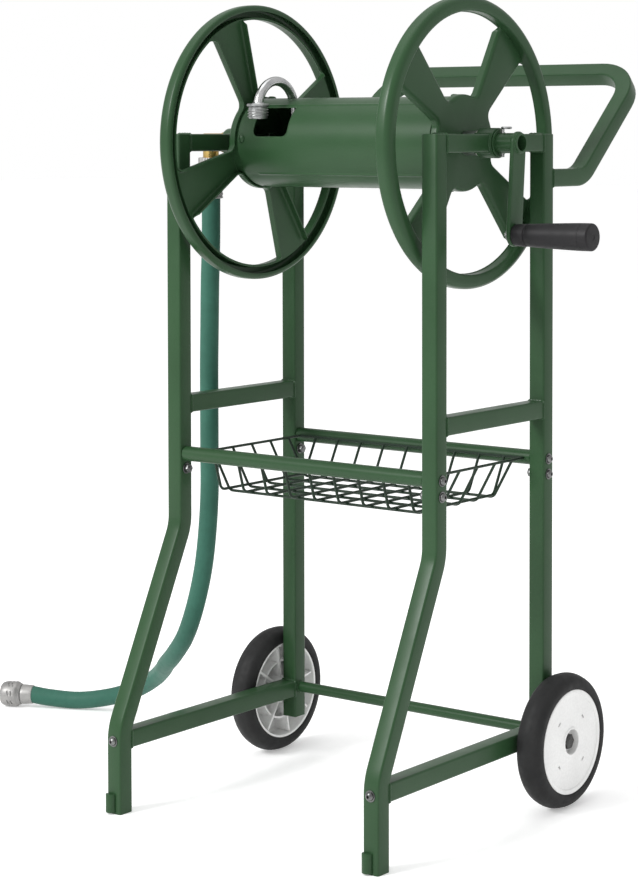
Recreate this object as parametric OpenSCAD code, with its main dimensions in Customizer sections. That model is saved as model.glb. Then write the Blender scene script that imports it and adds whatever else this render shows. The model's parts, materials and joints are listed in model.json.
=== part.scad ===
// Two-wheeled garden hose reel cart: a square-tube frame with a bent push handle and a wire
// basket, a turning drum between two spoked discs, a crank, and a leader hose on a swivel.
// Millimetres, +Z up. +X is the crank side, -Y is the front (the feet), +Y is the wheel side.
// Every sub-part is drawn from the frame's own datum: x = 0 midway between the side frames,
// y = 0 at the front of the front legs, z = 0 on the ground. place() then moves the whole
// cart so that the origin lies under the middle of its footprint.

/* [Frame] */
// Outside width of the square frame tube
tube = 22.2; // [20:0.2:25]
// Wall thickness of the square frame tube
tube_wall = 1.6; // [1.2:0.1:2.4]
// Outside corner radius of the square frame tube
tube_round = 2.4; // [1.8:0.1:3.5]
// Clear width between the two side frames
frame_gap = 377.6; // [376:0.2:400]
// Distance from the front leg to the rear leg
leg_pitch = 229.2; // [215:0.2:250]
// Height of the top of the side frames
frame_h = 842.2; // [820:0.2:880]
// Height of the top of the middle rails
mid_rail_top = 509.6; // [480:0.2:560]
// Height of the top of the bottom rails
low_rail_top = 101.8; // [100:0.2:110]
// Height of the underside of the rear legs
rear_leg_bottom = 51.6; // [45:0.2:55]
// How far the feet stand in front of the upper front legs
foot_reach = 113; // [90:1:130]
// Height at which the front leg starts to lean forward
bend_high = 344; // [320:1:380]
// Height at which the foot turns upright again
bend_low = 104; // [103:1:118]
// Centreline radius of the leg bends
leg_bend_r = 60; // [40:1:80]

/* [Cross bars and basket] */
// Height of the two tie bars that carry the basket
tie_z = 436; // [420:1:460]
// Diameter of the tie bars
tie_d = 18.8; // [16:0.2:20]
// Diameter of the lower tie rod
rod_d = 14; // [12:0.5:16]
// Height of the lower tie rod
rod_z = 92; // [90:0.5:94]
// Diameter of the basket wire
wire_d = 3.6; // [3:0.1:4.5]
// Half of the basket's width at its rim
basket_rim_x = 180; // [160:1:182]
// Half of the basket's width at its floor
basket_floor_x = 152; // [130:1:160]
// Depth of the basket below the tie bars
basket_depth = 46; // [35:1:60]
// Number of basket wires that run front to back
wires_across = 9; // [7:1:11]
// Number of basket wires that run side to side
wires_along = 6; // [4:1:7]

/* [Handle] */
// Height of the straight ends of the push handle
handle_z = 787; // [770:1:800]
// Height of the cross bar of the push handle
handle_top_z = 922; // [890:1:940]
// Distance from the rear leg to the lower bend of the handle
handle_straight = 76; // [60:1:90]
// Slope of the handle's arms from the horizontal
handle_slope = 42.5; // [35:0.5:50]
// Centreline radius of the handle's lower bends
handle_low_r = 45; // [35:1:55]
// Centreline radius of the handle's upper corners
handle_top_r = 55; // [45:1:65]

/* [Wheels] */
// Diameter of the tyres
wheel_d = 168; // [164:1:172]
// Width of the tyres
wheel_w = 34.4; // [30:0.2:38]
// Diameter of the white wheel face
rim_d = 130.4; // [124:0.2:134]
// Diameter of the axle bolts
axle_d = 10; // [9:0.5:11]

/* [Reel] */
// Outside diameter of the reel discs
disc_d = 355.4; // [340:0.2:370]
// Distance from the middle of the reel to the middle of a disc's rim
disc_x = 168.8; // [166:0.2:170]
// Width of the rolled rim of a disc
rim_w = 20; // [18:0.5:21]
// Radial depth of the rolled rim of a disc
rim_depth = 18; // [16:0.5:20]
// Outside diameter of the drum
drum_d = 114; // [108:1:120]
// Half of the length of the drum
drum_half = 151; // [149:1:152]
// Angle of the first spoke of the crank-side disc
right_spoke_angle = 51; // [0:1:89]
// Angle of the first spoke of the inlet-side disc
left_spoke_angle = 24; // [0:1:89]
// Outside diameter of the reel's shafts
shaft_d = 24.4; // [24:0.1:25]

/* [Crank] */
// Crank radius, from the reel axis to the grip axis
crank_r = 110; // [90:1:120]
// Angle at which the crank hangs forward of straight down, in degrees
crank_lean = 4.5; // [-15:0.5:15]
// Length of the crank grip
grip_len = 108; // [95:1:115]
// Largest diameter of the crank grip
grip_d = 33; // [30:0.5:36]

/* [Hose] */
// Outside diameter of the leader hose
hose_d = 24.6; // [23:0.1:25]

/* [Hidden] */
$fn = 48;

paint = "#4a6b4c";
dark_paint = "#2f4a34";
zinc = "#b9bcc0";
brass = "#c8a24a";
rubber = "#3c3c3e";
white_plastic = "#ececec";
nylon = "#dcdcd2";
hose_green = "#4a8272";

eps = 0.01;

bend_steps = 10;

// Places in the frame
leg_x = (frame_gap + tube) / 2;
inner_x = frame_gap / 2;
outer_x = inner_x + tube;
front_y = tube / 2;
rear_y = leg_pitch + tube / 2;
foot_y = front_y - foot_reach;
foot_front = foot_y - tube / 2;
rear_face = rear_y + tube / 2;
axis_y = (front_y + rear_y) / 2;
axis_z = frame_h - tube / 2;
low_rail_z = low_rail_top - tube / 2;
tube_in = tube - 2 * tube_wall;
leg_bends = [leg_bend_r, leg_bend_r];

// Corner of the handle's lower bend as [y, z], where its arms start beyond it, and how far
// the two run on together
handle_foot = [rear_face + handle_straight, handle_z];
handle_join = 30;
handle_lap = 8;

// Bolts
bolt_d = 6;
bolt_hole = 6.4;
head_d = 10.5;
head_h = 4;
washer_d = 13.5;
washer_h = 1.2;
second_bolt_drop = 19;
spacer_d = 12;
bolt_bite = 18;
nut_af = 10;
nut_h = 5;

// Bearings
housing_d = 36.6;
housing_end = outer_x + 2.4;
bush_wall_d = 30;
bush_bore = shaft_d + 0.12;
bush_flange_d = 34;
bush_flange = 2;
plate_x = 163;
plate_t = 2.4;
shaft_start = 140;
crank_shaft_end = 246.5;
inlet_shaft_end = 216;
inlet_bore = 15;
pin_x = 219;
pin_d = 4;
pin_len = 34;
pin_ring_r = 5.2;
pin_ring_wire = 3.2;

// Reel
disc_r = disc_d / 2;
rim_round = 8.5;
rim_lip = 3;
rim_sheet = 2.4;
drum_r = drum_d / 2;
drum_wall = 1.6;
collar_r = drum_r - drum_wall;
collar_in = collar_r - 2;
collar_start = drum_half - 13;
spoke_root = 13;
spoke_tip = 31.5;
spoke_fold = 10;
window_x0 = -127;
window_x1 = -70;
window_z0 = 7;
window_z1 = 44;
seam_angles = [56, 124, 224, 316];
seam_r = 1.6;
seam_half = drum_half - 20;
screw_angles = [85, 175, 265, 355];
screw_x = drum_half - 6;
screw_d = 5;
screw_head_d = 11;
screw_head_h = 3;

// Water way
stem_d = 15;
stem_end = -240;
seal_r = 1.1;
seal_places = [-232, -225];
pipe_d = 12;
pipe_bore = 9;
pipe_x = -104;
pipe_r = 36;
pipe_rise = 78;
fitting_d = 26.6;
fitting_top = 49;
fitting_len = 19;
swivel_x = -246;
swivel_r = 12;
swivel_end = -260;
hose_top = axis_z - 20;
coupling_end = axis_z - 74;

// Crank
arm_x = 238.5;
arm_t = 5;
arm_w = 28;
grip_x = arm_x + arm_t + 0.4;
stud_d = 8;
stud_head_x = 330;
cap_len = 7;

// Wheels
wheel_z = wheel_d / 2;
tyre_x = 213.6;
wheel_mid = tyre_x + wheel_w / 2;
wheel_face = tyre_x + wheel_w;
hub_x = 213;
recess_x = 236;
washer_t = 1.6;
wheel_bush_d = 16;

// Ends of the cart, without the hose, and the shift that centres it on the origin
handle_run = (handle_top_z - handle_z) / tan(handle_slope);
handle_y = rear_face + handle_straight + handle_run;
cart_y1 = handle_y + tube / 2 * (cos(handle_slope) + sin(handle_slope));
tab_r = 7;
cart_y0 = foot_front - tab_r;
cart_x0 = swivel_end;
cart_x1 = grip_x + grip_len;
origin_shift = [-(cart_x0 + cart_x1) / 2, -(cart_y0 + cart_y1) / 2, 0];

// Hose: its centreline in the cart's final frame, from the top coupling down to the ground
hose_sides = 12;
hose_start = [swivel_x, axis_y, coupling_end] + origin_shift;
hose_route = [
    hose_start, [-292, -60, 700], [-294, -60, 645], [-295, -60, 590], [-296, -60, 535],
    [-296, -60, 480], [-296, -60, 425], [-296, -60, 370], [-298, -62, 318], [-304, -64, 265],
    [-319, -63, 213], [-345, -54, 167], [-382, -36, 133], [-422, -8, 109], [-460, 26, 89],
    [-501, 53, 66], [-547, 66, 42], [-598, 66, 23], [-649, 52, 13], [-690, 32, 15],
    [-712, 21, 18.4]
];
hose_end = hose_route[len(hose_route) - 1];
hose_end_dir = [-0.9, -0.436, 0];
ferrule_len = 17;
tail_d = 20;
tail_len = 12;
tail_lip_d = 23;
tail_lip = 3;
thread_start = 12.1;
coupling_d = 36.4;
coupling_len = 30;
thread_bore = 26.9;

// ---- Helpers ----

module place() translate(origin_shift) children();

// Turns a shape drawn about +Z so that its axis is +X and its plane is the YZ plane
module about_x() rotate([90, 0, 90]) children();

// Same, centred on the axis of the reel
module on_reel() translate([0, axis_y, axis_z]) about_x() children();

function unit(v) = v / norm(v);
function turn(p, i) = acos(unit(p[i] - p[i - 1]) * unit(p[i + 1] - p[i]));
function is_end(p, i) = i == 0 || i == len(p) - 1;
function trim(p, r, i) = is_end(p, i) ? 0 : r[i - 1] * tan(turn(p, i) / 2);
function bend_axis(p, i) = unit(cross(p[i] - p[i - 1], p[i + 1] - p[i]));

// Puts local X and Z on two given directions
module frame_at(o, x, z) {
    y = cross(z, x);
    multmatrix([
        [x[0], y[0], z[0], o[0]],
        [x[1], y[1], z[1], o[1]],
        [x[2], y[2], z[2], o[2]],
        [0, 0, 0, 1]
    ]) children();
}

// A tube of any section, bent along a line of points p with a radius r[i] at each corner
module bent(p, r) {
    for (i = [0 : len(p) - 2]) {
        dir = unit(p[i + 1] - p[i]);
        side = bend_axis(p, i == 0 ? 1 : i);
        run = norm(p[i + 1] - p[i]) - trim(p, r, i) - trim(p, r, i + 1);
        if (run > 0.1)
            frame_at(p[i] + dir * trim(p, r, i), side, dir)
                linear_extrude(run) children();
    }
    for (i = [1 : len(p) - 2]) {
        a = unit(p[i] - p[i - 1]);
        n = bend_axis(p, i);
        inward = cross(n, a);
        frame_at(p[i] - a * trim(p, r, i) + inward * r[i - 1], -inward, n)
            rotate_extrude(angle = turn(p, i)) translate([r[i - 1], 0]) children();
    }
}

function left_of(v) = [-v[1], v[0]];
function spin(v, a) = [v[0] * cos(a) - v[1] * sin(a), v[0] * sin(a) + v[1] * cos(a)];

// One edge of a flat strip that follows the line p with rounded corners, off to its left by d
function strip_edge(p, r, d) = [
    p[0] + d * left_of(unit(p[1] - p[0])),
    for (i = [1 : len(p) - 2])
        let (
            a = unit(p[i] - p[i - 1]),
            way = cross(a, p[i + 1] - p[i]) > 0 ? 1 : -1,
            middle = p[i] - a * trim(p, r, i) + way * r[i - 1] * left_of(a)
        )
        for (k = [0 : bend_steps])
            middle + (d - way * r[i - 1]) * spin(left_of(a), way * turn(p, i) * k / bend_steps),
    p[len(p) - 1] + d * left_of(unit(p[len(p) - 1] - p[len(p) - 2]))
];

// Flat strip of width w and thickness w along the line p
module bent_bar(p, r, w) {
    back = strip_edge(p, r, -w / 2);
    linear_extrude(w, center = true)
        polygon(concat(strip_edge(p, r, w / 2), [for (i = [len(back) - 1 : -1 : 0]) back[i]]));
}

module rounded_square(w, r) {
    square([w - 2 * r, w], center = true);
    square([w, w - 2 * r], center = true);
    for (sx = [-1, 1], sy = [-1, 1])
        translate([sx * (w / 2 - r), sy * (w / 2 - r)]) circle(r);
}

module tube_section() {
    difference() {
        rounded_square(tube, tube_round);
        square(tube_in, center = true);
    }
}

module pipe_section(od, id) {
    difference() {
        circle(d = od);
        circle(d = id);
    }
}

module ring(od, id, h) {
    linear_extrude(h) pipe_section(od, id);
}

module hexagon(af, h) cylinder(d = af / cos(30), h = h, $fn = 6);

// Square tube along Y between two places
module tube_y(x, y0, y1, z) {
    translate([x, y0, z]) rotate([-90, 0, 0]) linear_extrude(y1 - y0) tube_section();
}

module rod_x(x0, x1, y, z, d) translate([x0, y, z]) rotate([0, 90, 0]) cylinder(d = d, h = x1 - x0);

// Closes the top of a leg
module leg_cap(x, y) {
    translate([x, y, frame_h - tube_wall]) linear_extrude(tube_wall) square(tube_in, center = true);
}

// Cross holes of the two bolts beside each tie bar
module leg_bolt_holes(side, y) {
    for (z = [tie_z, tie_z - second_bolt_drop])
        rod_x(side * leg_x - tube, side * leg_x + tube, y, z, bolt_hole);
}

// ---- Frame ----

// Centreline of a front leg in the plane of its side frame, as [y, z]
function leg_line(z0, z1) = [[foot_y, z0], [foot_y, bend_low], [front_y, bend_high], [front_y, z1]];

// Solid bar of width w along a front leg
module leg_shape(x, w, z0 = 0, z1 = frame_h) {
    translate([x, 0, 0]) about_x() bent_bar(leg_line(z0, z1), leg_bends, w);
}

module front_leg(side) {
    x = side * leg_x;
    color(paint) place() difference() {
        leg_shape(x, tube);
        leg_shape(x, tube_in, -1, frame_h - tube_wall);
        leg_bolt_holes(side, front_y);
        translate([x, foot_front - tube, low_rail_z]) rotate([-90, 0, 0])
            cylinder(d = bolt_hole, h = 3 * tube);
    }
}

module rear_leg(side) {
    x = side * leg_x;
    color(paint) place() difference() {
        union() {
            translate([x, rear_y, rear_leg_bottom]) linear_extrude(frame_h - rear_leg_bottom) tube_section();
            leg_cap(x, rear_y);
        }
        leg_bolt_holes(side, rear_y);
        mirror([side < 0 ? 1 : 0, 0, 0]) rod_x(leg_x, leg_x + tube, rear_y, wheel_z, axle_d);
    }
}

module top_rail(side) {
    color(paint) place() difference() {
        tube_y(side * leg_x, tube, leg_pitch, axis_z);
        rod_x(side * leg_x - tube, side * leg_x + tube, axis_y, axis_z, housing_d);
    }
}

module mid_rail(side) {
    color(paint) place() tube_y(side * leg_x, tube, leg_pitch, mid_rail_top - tube / 2);
}

module bottom_rail(side) {
    color(paint) place() difference() {
        tube_y(side * leg_x, foot_y + tube / 2, leg_pitch, low_rail_z);
        leg_shape(side * leg_x, tube);
    }
}

module tie_bar(y) {
    color(paint) place() difference() {
        rod_x(-inner_x, inner_x, y, tie_z, tie_d);
        rod_x(-inner_x + 30, inner_x - 30, y, tie_z, tie_d - 3.6);
        for (side = [-1, 1])
            translate([side * inner_x, y, tie_z]) rotate([0, -90 * side, 0])
                translate([0, 0, -1]) cylinder(d = bolt_d, h = bolt_bite + 1);
    }
}

module lower_tie_rod() {
    color(paint) place() rod_x(-inner_x, inner_x, rear_y, rod_z, rod_d);
}

// The handle's two lower bends, in the planes of the side frames
module handle_ends(w, extra) {
    slope = [cos(handle_slope), sin(handle_slope)];
    for (x = [-leg_x, leg_x])
        translate([x, 0, 0]) about_x() bent_bar(
            [[rear_face - extra, handle_z], handle_foot, handle_foot + (handle_join + handle_lap) * slope],
            [handle_low_r], w);
}

// The handle's sloping arms and cross bar, in one plane
module handle_bow(w) {
    far = norm([handle_y, handle_top_z] - handle_foot);
    translate([0, handle_foot[0], handle_foot[1]]) rotate([handle_slope, 0, 0])
        bent_bar([[leg_x, handle_join], [leg_x, far], [-leg_x, far], [-leg_x, handle_join]],
            [handle_top_r, handle_top_r], w);
}

module handle() {
    color(paint) place() difference() {
        union() {
            handle_ends(tube, 0);
            handle_bow(tube);
        }
        handle_ends(tube_in, 1);
        handle_bow(tube_in);
    }
}

// Half-round tab welded on the front of each foot
module foot_tabs() {
    color(paint) place() for (x = [-outer_x, inner_x])
        intersection() {
            translate([x + tab_r, foot_front, 2]) cylinder(r = tab_r, h = 23);
            translate([x, foot_front - tab_r, 0]) cube([2 * tab_r, tab_r, 30]);
        }
}

// Plugs in the open lower ends of the legs
module tube_plugs() {
    color(rubber) place() for (x = [-leg_x, leg_x]) {
        translate([x, foot_y, 0]) linear_extrude(14) square(tube_in, center = true);
        translate([x, rear_y, rear_leg_bottom]) linear_extrude(8) square(tube_in, center = true);
    }
}

// Threaded blocks in the front ends of the bottom rails
module rail_inserts() {
    color(zinc) place() for (x = [-leg_x, leg_x])
        difference() {
            translate([x, foot_y + tube / 2, low_rail_z]) rotate([-90, 0, 0])
                linear_extrude(26) square(tube_in, center = true);
            translate([x, foot_y, low_rail_z]) rotate([-90, 0, 0])
                cylinder(d = bolt_d, h = tube / 2 + bolt_bite);
            leg_shape(x, tube);
        }
}

// Blocks inside the rear legs that the axle bolts screw into
module axle_blocks() {
    color(zinc) place() for (side = [-1, 1])
        difference() {
            translate([side * leg_x, rear_y, rear_leg_bottom + 10])
                linear_extrude(50) square(tube_in, center = true);
            mirror([side < 0 ? 1 : 0, 0, 0]) rod_x(leg_x - 5, leg_x + tube, rear_y, wheel_z, axle_d);
        }
}

// Anti-crush sleeves on the bolts inside the legs
module bolt_spacers() {
    color(zinc) place() {
        for (x = [-leg_x, leg_x], y = [front_y, rear_y], z = [tie_z, tie_z - second_bolt_drop])
            translate([x - tube_in / 2, y, z]) about_x() ring(spacer_d, bolt_hole, tube_in);
        for (x = [-leg_x, leg_x])
            intersection() {
                translate([x, foot_y - tube_in / 2, low_rail_z]) rotate([-90, 0, 0])
                    ring(spacer_d, bolt_hole, tube_in);
                leg_shape(x, tube_in);
            }
    }
}

// A washer and a button head with a socket, standing on +Z from z = 0, with a shank below
module bolt(shank) {
    cylinder(d = washer_d, h = washer_h);
    translate([0, 0, -shank]) cylinder(d = bolt_d, h = shank + eps);
    difference() {
        translate([0, 0, washer_h - eps]) cylinder(d1 = head_d, d2 = head_d - 3, h = head_h);
        translate([0, 0, washer_h + head_h - 2]) cylinder(d = 4, h = 3, $fn = 6);
    }
}

module tie_bolts() {
    color(zinc) place() for (side = [-1, 1], y = [front_y, rear_y])
        translate([side * outer_x, y, tie_z]) rotate([0, 90 * side, 0]) bolt(tube + bolt_bite);
}

module leg_bolts() {
    color(zinc) place() for (side = [-1, 1], y = [front_y, rear_y])
        translate([side * outer_x, y, tie_z - second_bolt_drop]) rotate([0, 90 * side, 0]) bolt(tube + 7);
}

module leg_nuts() {
    color(zinc) place() for (side = [-1, 1], y = [front_y, rear_y])
        translate([side * inner_x, y, tie_z - second_bolt_drop]) rotate([0, -90 * side, 0])
            difference() {
                union() {
                    cylinder(d = washer_d, h = washer_h);
                    translate([0, 0, washer_h - eps]) hexagon(nut_af, nut_h);
                }
                translate([0, 0, -1]) cylinder(d = bolt_d, h = 12);
            }
}

module foot_bolts() {
    color(zinc) place() for (x = [-leg_x, leg_x])
        translate([x, foot_front, low_rail_z]) rotate([90, 0, 0]) bolt(tube + bolt_bite);
}

// One straight wire with round ends between two points
module wire(a, b) hull() {
    translate(a) sphere(d = wire_d, $fn = 8);
    translate(b) sphere(d = wire_d, $fn = 8);
}

// Wires joined end to end
module wire_path(p) for (i = [0 : len(p) - 2]) wire(p[i], p[i + 1]);

module wire_basket() {
    rim_z = tie_z;
    floor_z = tie_z - basket_depth;
    front_rim = front_y + tie_d / 2 + wire_d / 2;
    rear_rim = rear_y - tie_d / 2 - wire_d / 2;
    front_floor = front_rim + 14;
    rear_floor = rear_rim - 24;
    color(dark_paint) place() {
        for (side = [-1, 1])
            wire([side * basket_rim_x, front_rim, rim_z], [side * basket_rim_x, rear_rim, rim_z]);
        for (y = [front_rim, rear_rim])
            wire([-basket_rim_x, y, rim_z], [basket_rim_x, y, rim_z]);
        for (i = [0 : wires_across - 1]) {
            x = basket_floor_x * (2 * i / (wires_across - 1) - 1);
            wire_path([[x, front_rim, rim_z], [x, front_floor, floor_z], [x, rear_floor, floor_z],
                [x, rear_rim, rim_z]]);
        }
        for (i = [0 : wires_along - 1]) {
            y = front_floor + (rear_floor - front_floor) * i / (wires_along - 1);
            z = floor_z - wire_d * 0.8;
            wire_path([[-basket_rim_x, y, rim_z], [-basket_floor_x, y, z], [basket_floor_x, y, z],
                [basket_rim_x, y, rim_z]]);
        }
    }
}

// Steel sleeve welded across the top rail
module bearing_housing(side) {
    color(paint) place() mirror([side < 0 ? 1 : 0, 0, 0])
        translate([inner_x, axis_y, axis_z]) about_x() ring(housing_d, bush_wall_d, housing_end - inner_x);
}

// Flanged nylon bush in the sleeve
module bearing_bush(side) {
    color(nylon) place() mirror([side < 0 ? 1 : 0, 0, 0])
        translate([inner_x - bush_flange, axis_y, axis_z]) about_x() difference() {
            union() {
                cylinder(d = bush_flange_d, h = bush_flange);
                cylinder(d = bush_wall_d, h = housing_end - inner_x + bush_flange);
            }
            translate([0, 0, -1]) cylinder(d = bush_bore, h = 60);
        }
}

// ---- Wheels ----

module on_wheel(side) mirror([side < 0 ? 1 : 0, 0, 0]) translate([0, rear_y, wheel_z]) about_x() children();

module axle_bolts() {
    color(zinc) place() for (side = [-1, 1]) on_wheel(side) {
        translate([0, 0, leg_x - 5]) cylinder(d = axle_d, h = recess_x + washer_t - leg_x + 5.5);
        translate([0, 0, recess_x + washer_t]) hexagon(17, 6.4);
    }
}

module axle_washers() {
    color(zinc) place() for (side = [-1, 1]) on_wheel(side) {
        translate([0, 0, outer_x]) ring(24, axle_d, washer_t);
        translate([0, 0, recess_x + 0.1]) ring(20, axle_d, washer_t - 0.1);
    }
}

// Tyre: rounded tread, with its bead round the rim
module tyre(side) {
    r = wheel_d / 2;
    shoulder = 11;
    bead = rim_d / 2;
    color(rubber) place() on_wheel(side) translate([0, 0, wheel_mid]) rotate_extrude($fn = 96) difference() {
        union() {
            translate([bead, -wheel_w / 2]) square([r - shoulder - bead, wheel_w]);
            translate([bead, -wheel_w / 2 + shoulder]) square([r - bead, wheel_w - 2 * shoulder]);
            for (s = [-1, 1])
                translate([r - shoulder, s * (wheel_w / 2 - shoulder)]) circle(shoulder);
        }
        translate([0, -wheel_w]) square([bead, 2 * wheel_w]);
    }
}

// Moulded wheel: flat outer face, barrel, ribs and hub
module rim(side) {
    r = rim_d / 2;
    face_t = 3.4;
    ribs = 8;
    depth = wheel_face - 2 - tyre_x;
    color(white_plastic) place() on_wheel(side) difference() {
        union() {
            translate([0, 0, wheel_face - 1 - face_t]) cylinder(r = r, h = face_t, $fn = 96);
            translate([0, 0, tyre_x + 1]) ring(2 * r, 2 * r - 7, depth, $fn = 96);
            translate([0, 0, tyre_x + 8]) ring(80, 75, wheel_face - tyre_x - 10);
            translate([0, 0, hub_x]) cylinder(d = 38, h = wheel_face - hub_x - 1);
            for (i = [0 : ribs - 1])
                rotate(i * 360 / ribs)
                    translate([16, -1.5, tyre_x + 5]) cube([r - 18, 3, wheel_face - tyre_x - 8]);
        }
        translate([0, 0, recess_x]) cylinder(d = 31, h = 20);
        translate([0, 0, hub_x - 1]) cylinder(d = wheel_bush_d, h = 40);
        for (a = [45 : 90 : 359])
            rotate(a) translate([37, -3, wheel_face - 6]) cube([2.8, 6, 8]);
    }
}

module wheel_bush(side) {
    color(nylon) place() on_wheel(side)
        translate([0, 0, hub_x]) ring(wheel_bush_d, axle_d + 0.14, recess_x - hub_x);
}

// ---- Reel ----

module drum_shell() {
    color(paint) place() on_reel() difference() {
        union() {
            translate([0, 0, -drum_half]) cylinder(r = drum_r, h = 2 * drum_half, $fn = 96);
            for (a = seam_angles)
                rotate(a) translate([drum_r - 0.6, 0, -seam_half]) cylinder(r = seam_r, h = 2 * seam_half);
        }
        translate([0, 0, -drum_half - 1]) cylinder(r = drum_r - drum_wall, h = 2 * drum_half + 2, $fn = 96);
        drum_window();
        translate([0, 0, pipe_x]) rotate([-90, 0, 0]) cylinder(d = 20, h = drum_r + 10);
        drum_screw_holes();
    }
}

// Window in the front of the drum, with rounded lower corners, cut along Y
module drum_window() {
    corner = 9;
    w = window_x1 - window_x0;
    h = window_z1 - window_z0;
    rotate([0, -90, 0]) translate([window_x0, window_z0, 0]) linear_extrude(drum_r + 10) {
        translate([0, corner]) square([w, h - corner]);
        translate([corner, 0]) square([w - 2 * corner, h]);
        for (x = [corner, w - corner]) translate([x, corner]) circle(corner);
    }
}

module at_screws() {
    for (z = [-screw_x, screw_x], a = screw_angles)
        rotate(a) translate([0, 0, z]) rotate([0, 90, 0]) children();
}

module drum_screw_holes() {
    at_screws() translate([0, 0, collar_in - 3]) cylinder(d = screw_d, h = 12, $fn = 24);
}

module drum_screws() {
    color(paint) place() on_reel() at_screws() {
        translate([0, 0, collar_in - 2]) cylinder(d = screw_d, h = drum_r - collar_in + 2 + eps, $fn = 24);
        difference() {
            translate([0, 0, drum_r])
                cylinder(d1 = screw_head_d, d2 = screw_head_d - 2, h = screw_head_h, $fn = 24);
            translate([0, 0, drum_r + screw_head_h]) cube([screw_head_d - 4, 1.4, 3], center = true);
        }
    }
}

// A sheet spoke that widens towards the rim, with both long edges folded towards the drum
module spoke(z) {
    tip_r = disc_r - rim_depth + 2;
    root_r = collar_r - 6;
    linear_extrude(plate_t) polygon([[root_r, -spoke_root], [tip_r, -spoke_tip], [tip_r, spoke_tip],
        [root_r, spoke_root]]);
    for (s = [-1, 1])
        translate([0, 0, -spoke_fold]) linear_extrude(spoke_fold + plate_t)
            polygon([[root_r + 8, s * spoke_root], [tip_r, s * spoke_tip], [tip_r, s * (spoke_tip - 2)],
                [root_r + 8, s * (spoke_root - 2)]]);
}

// Section of a disc's rim: depth along the radius, width along X, outer corners of radius r
// and inner corners of radius lip
module rim_bar(depth, width, r, lip) {
    translate([-r - eps, r - width / 2]) square([r + eps, width - 2 * r]);
    translate([lip - depth, -width / 2]) square([depth - lip - r, width]);
    translate([-depth, lip - width / 2]) square([depth - r, width - 2 * lip]);
    for (side = [-1, 1]) {
        translate([-r, side * (width / 2 - r)]) circle(r);
        translate([lip - depth, side * (width / 2 - lip)]) circle(lip);
    }
}

// Reel disc: rolled rim, four spokes, and a hub plate whose collar fits in the drum
module disc(side, first_angle) {
    color(paint) place() on_reel() mirror([0, 0, side < 0 ? 1 : 0]) difference() {
        union() {
            translate([0, 0, disc_x]) rotate_extrude($fn = 128) translate([disc_r, 0]) difference() {
                rim_bar(rim_depth, rim_w, rim_round, rim_lip);
                translate([-rim_sheet, -rim_sheet - rim_w / 2])
                    rim_bar(rim_depth - 2 * rim_sheet, 2 * rim_w, rim_round - rim_sheet, rim_lip - rim_sheet);
            }
            translate([0, 0, plate_x]) for (k = [0 : 3]) rotate(first_angle + 90 * k) spoke();
            translate([0, 0, plate_x]) cylinder(r = drum_r + 1, h = plate_t);
            translate([0, 0, collar_start]) ring(2 * collar_r, 2 * collar_in, plate_x - collar_start + eps);
        }
        translate([0, 0, plate_x - 1]) cylinder(d = shaft_d, h = 10);
        drum_screw_holes();
    }
}

module crank_shaft() {
    color(paint) place() difference() {
        translate([shaft_start, axis_y, axis_z]) about_x() ring(shaft_d, 19, crank_shaft_end - shaft_start);
        translate([pin_x, axis_y, axis_z - pin_len]) cylinder(d = pin_d, h = 2 * pin_len);
    }
}

module inlet_shaft() {
    color(zinc) place() translate([-inlet_shaft_end, axis_y, axis_z]) about_x()
        ring(shaft_d, inlet_bore, inlet_shaft_end - shaft_start);
}

// Spacer tubes between the hub plates and the bearings
module shaft_spacers() {
    x0 = plate_x + plate_t;
    x1 = inner_x - bush_flange - 0.4;
    color(zinc) place() for (side = [-1, 1]) mirror([side < 0 ? 1 : 0, 0, 0])
        translate([x0, axis_y, axis_z]) about_x() ring(30, shaft_d, x1 - x0);
}

module shaft_washer() {
    color(paint) place() translate([housing_end + 0.4, axis_y, axis_z]) about_x() ring(33, shaft_d, 1.8);
}

// Pin through the crank shaft, with its ring
module hitch_pin() {
    color(zinc) place() {
        translate([pin_x, axis_y, axis_z - pin_len / 2]) cylinder(d = pin_d, h = pin_len);
        translate([pin_x + pin_ring_r, axis_y, axis_z + pin_len / 2 + 1.4]) rotate_extrude($fn = 32)
            translate([pin_ring_r, 0]) circle(pin_ring_wire / 2);
    }
}

module inlet_stem() {
    color(brass) place() translate([0, axis_y, axis_z]) about_x() difference() {
        translate([0, 0, stem_end]) cylinder(d = stem_d, h = 85);
        translate([0, 0, stem_end - 1]) cylinder(d = pipe_bore, h = 90);
        translate([0, 0, -175]) cylinder(d = pipe_d, h = 30);
        for (z = seal_places) translate([0, 0, z]) ring(stem_d + 2, stem_d - 4 * seal_r, 3);
    }
}

module stem_o_rings() {
    color("#202020") place() translate([0, axis_y, axis_z]) about_x()
        for (z = seal_places)
            translate([0, 0, z + 1.5]) rotate_extrude() translate([stem_d / 2 - seal_r, 0])
                circle(seal_r, $fn = 20);
}

// Pipe from the stem up through the top of the drum and over to the outlet
module water_pipe() {
    y1 = axis_y - 2 * pipe_r;
    color("#c4c6c8") place() bent([
        [-175, axis_y, axis_z], [pipe_x, axis_y, axis_z], [pipe_x, axis_y, axis_z + pipe_rise],
        [pipe_x, y1, axis_z + pipe_rise], [pipe_x, y1, axis_z + fitting_top - 8]
    ], [24, pipe_r, pipe_r]) pipe_section(pipe_d, pipe_bore);
}

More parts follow.
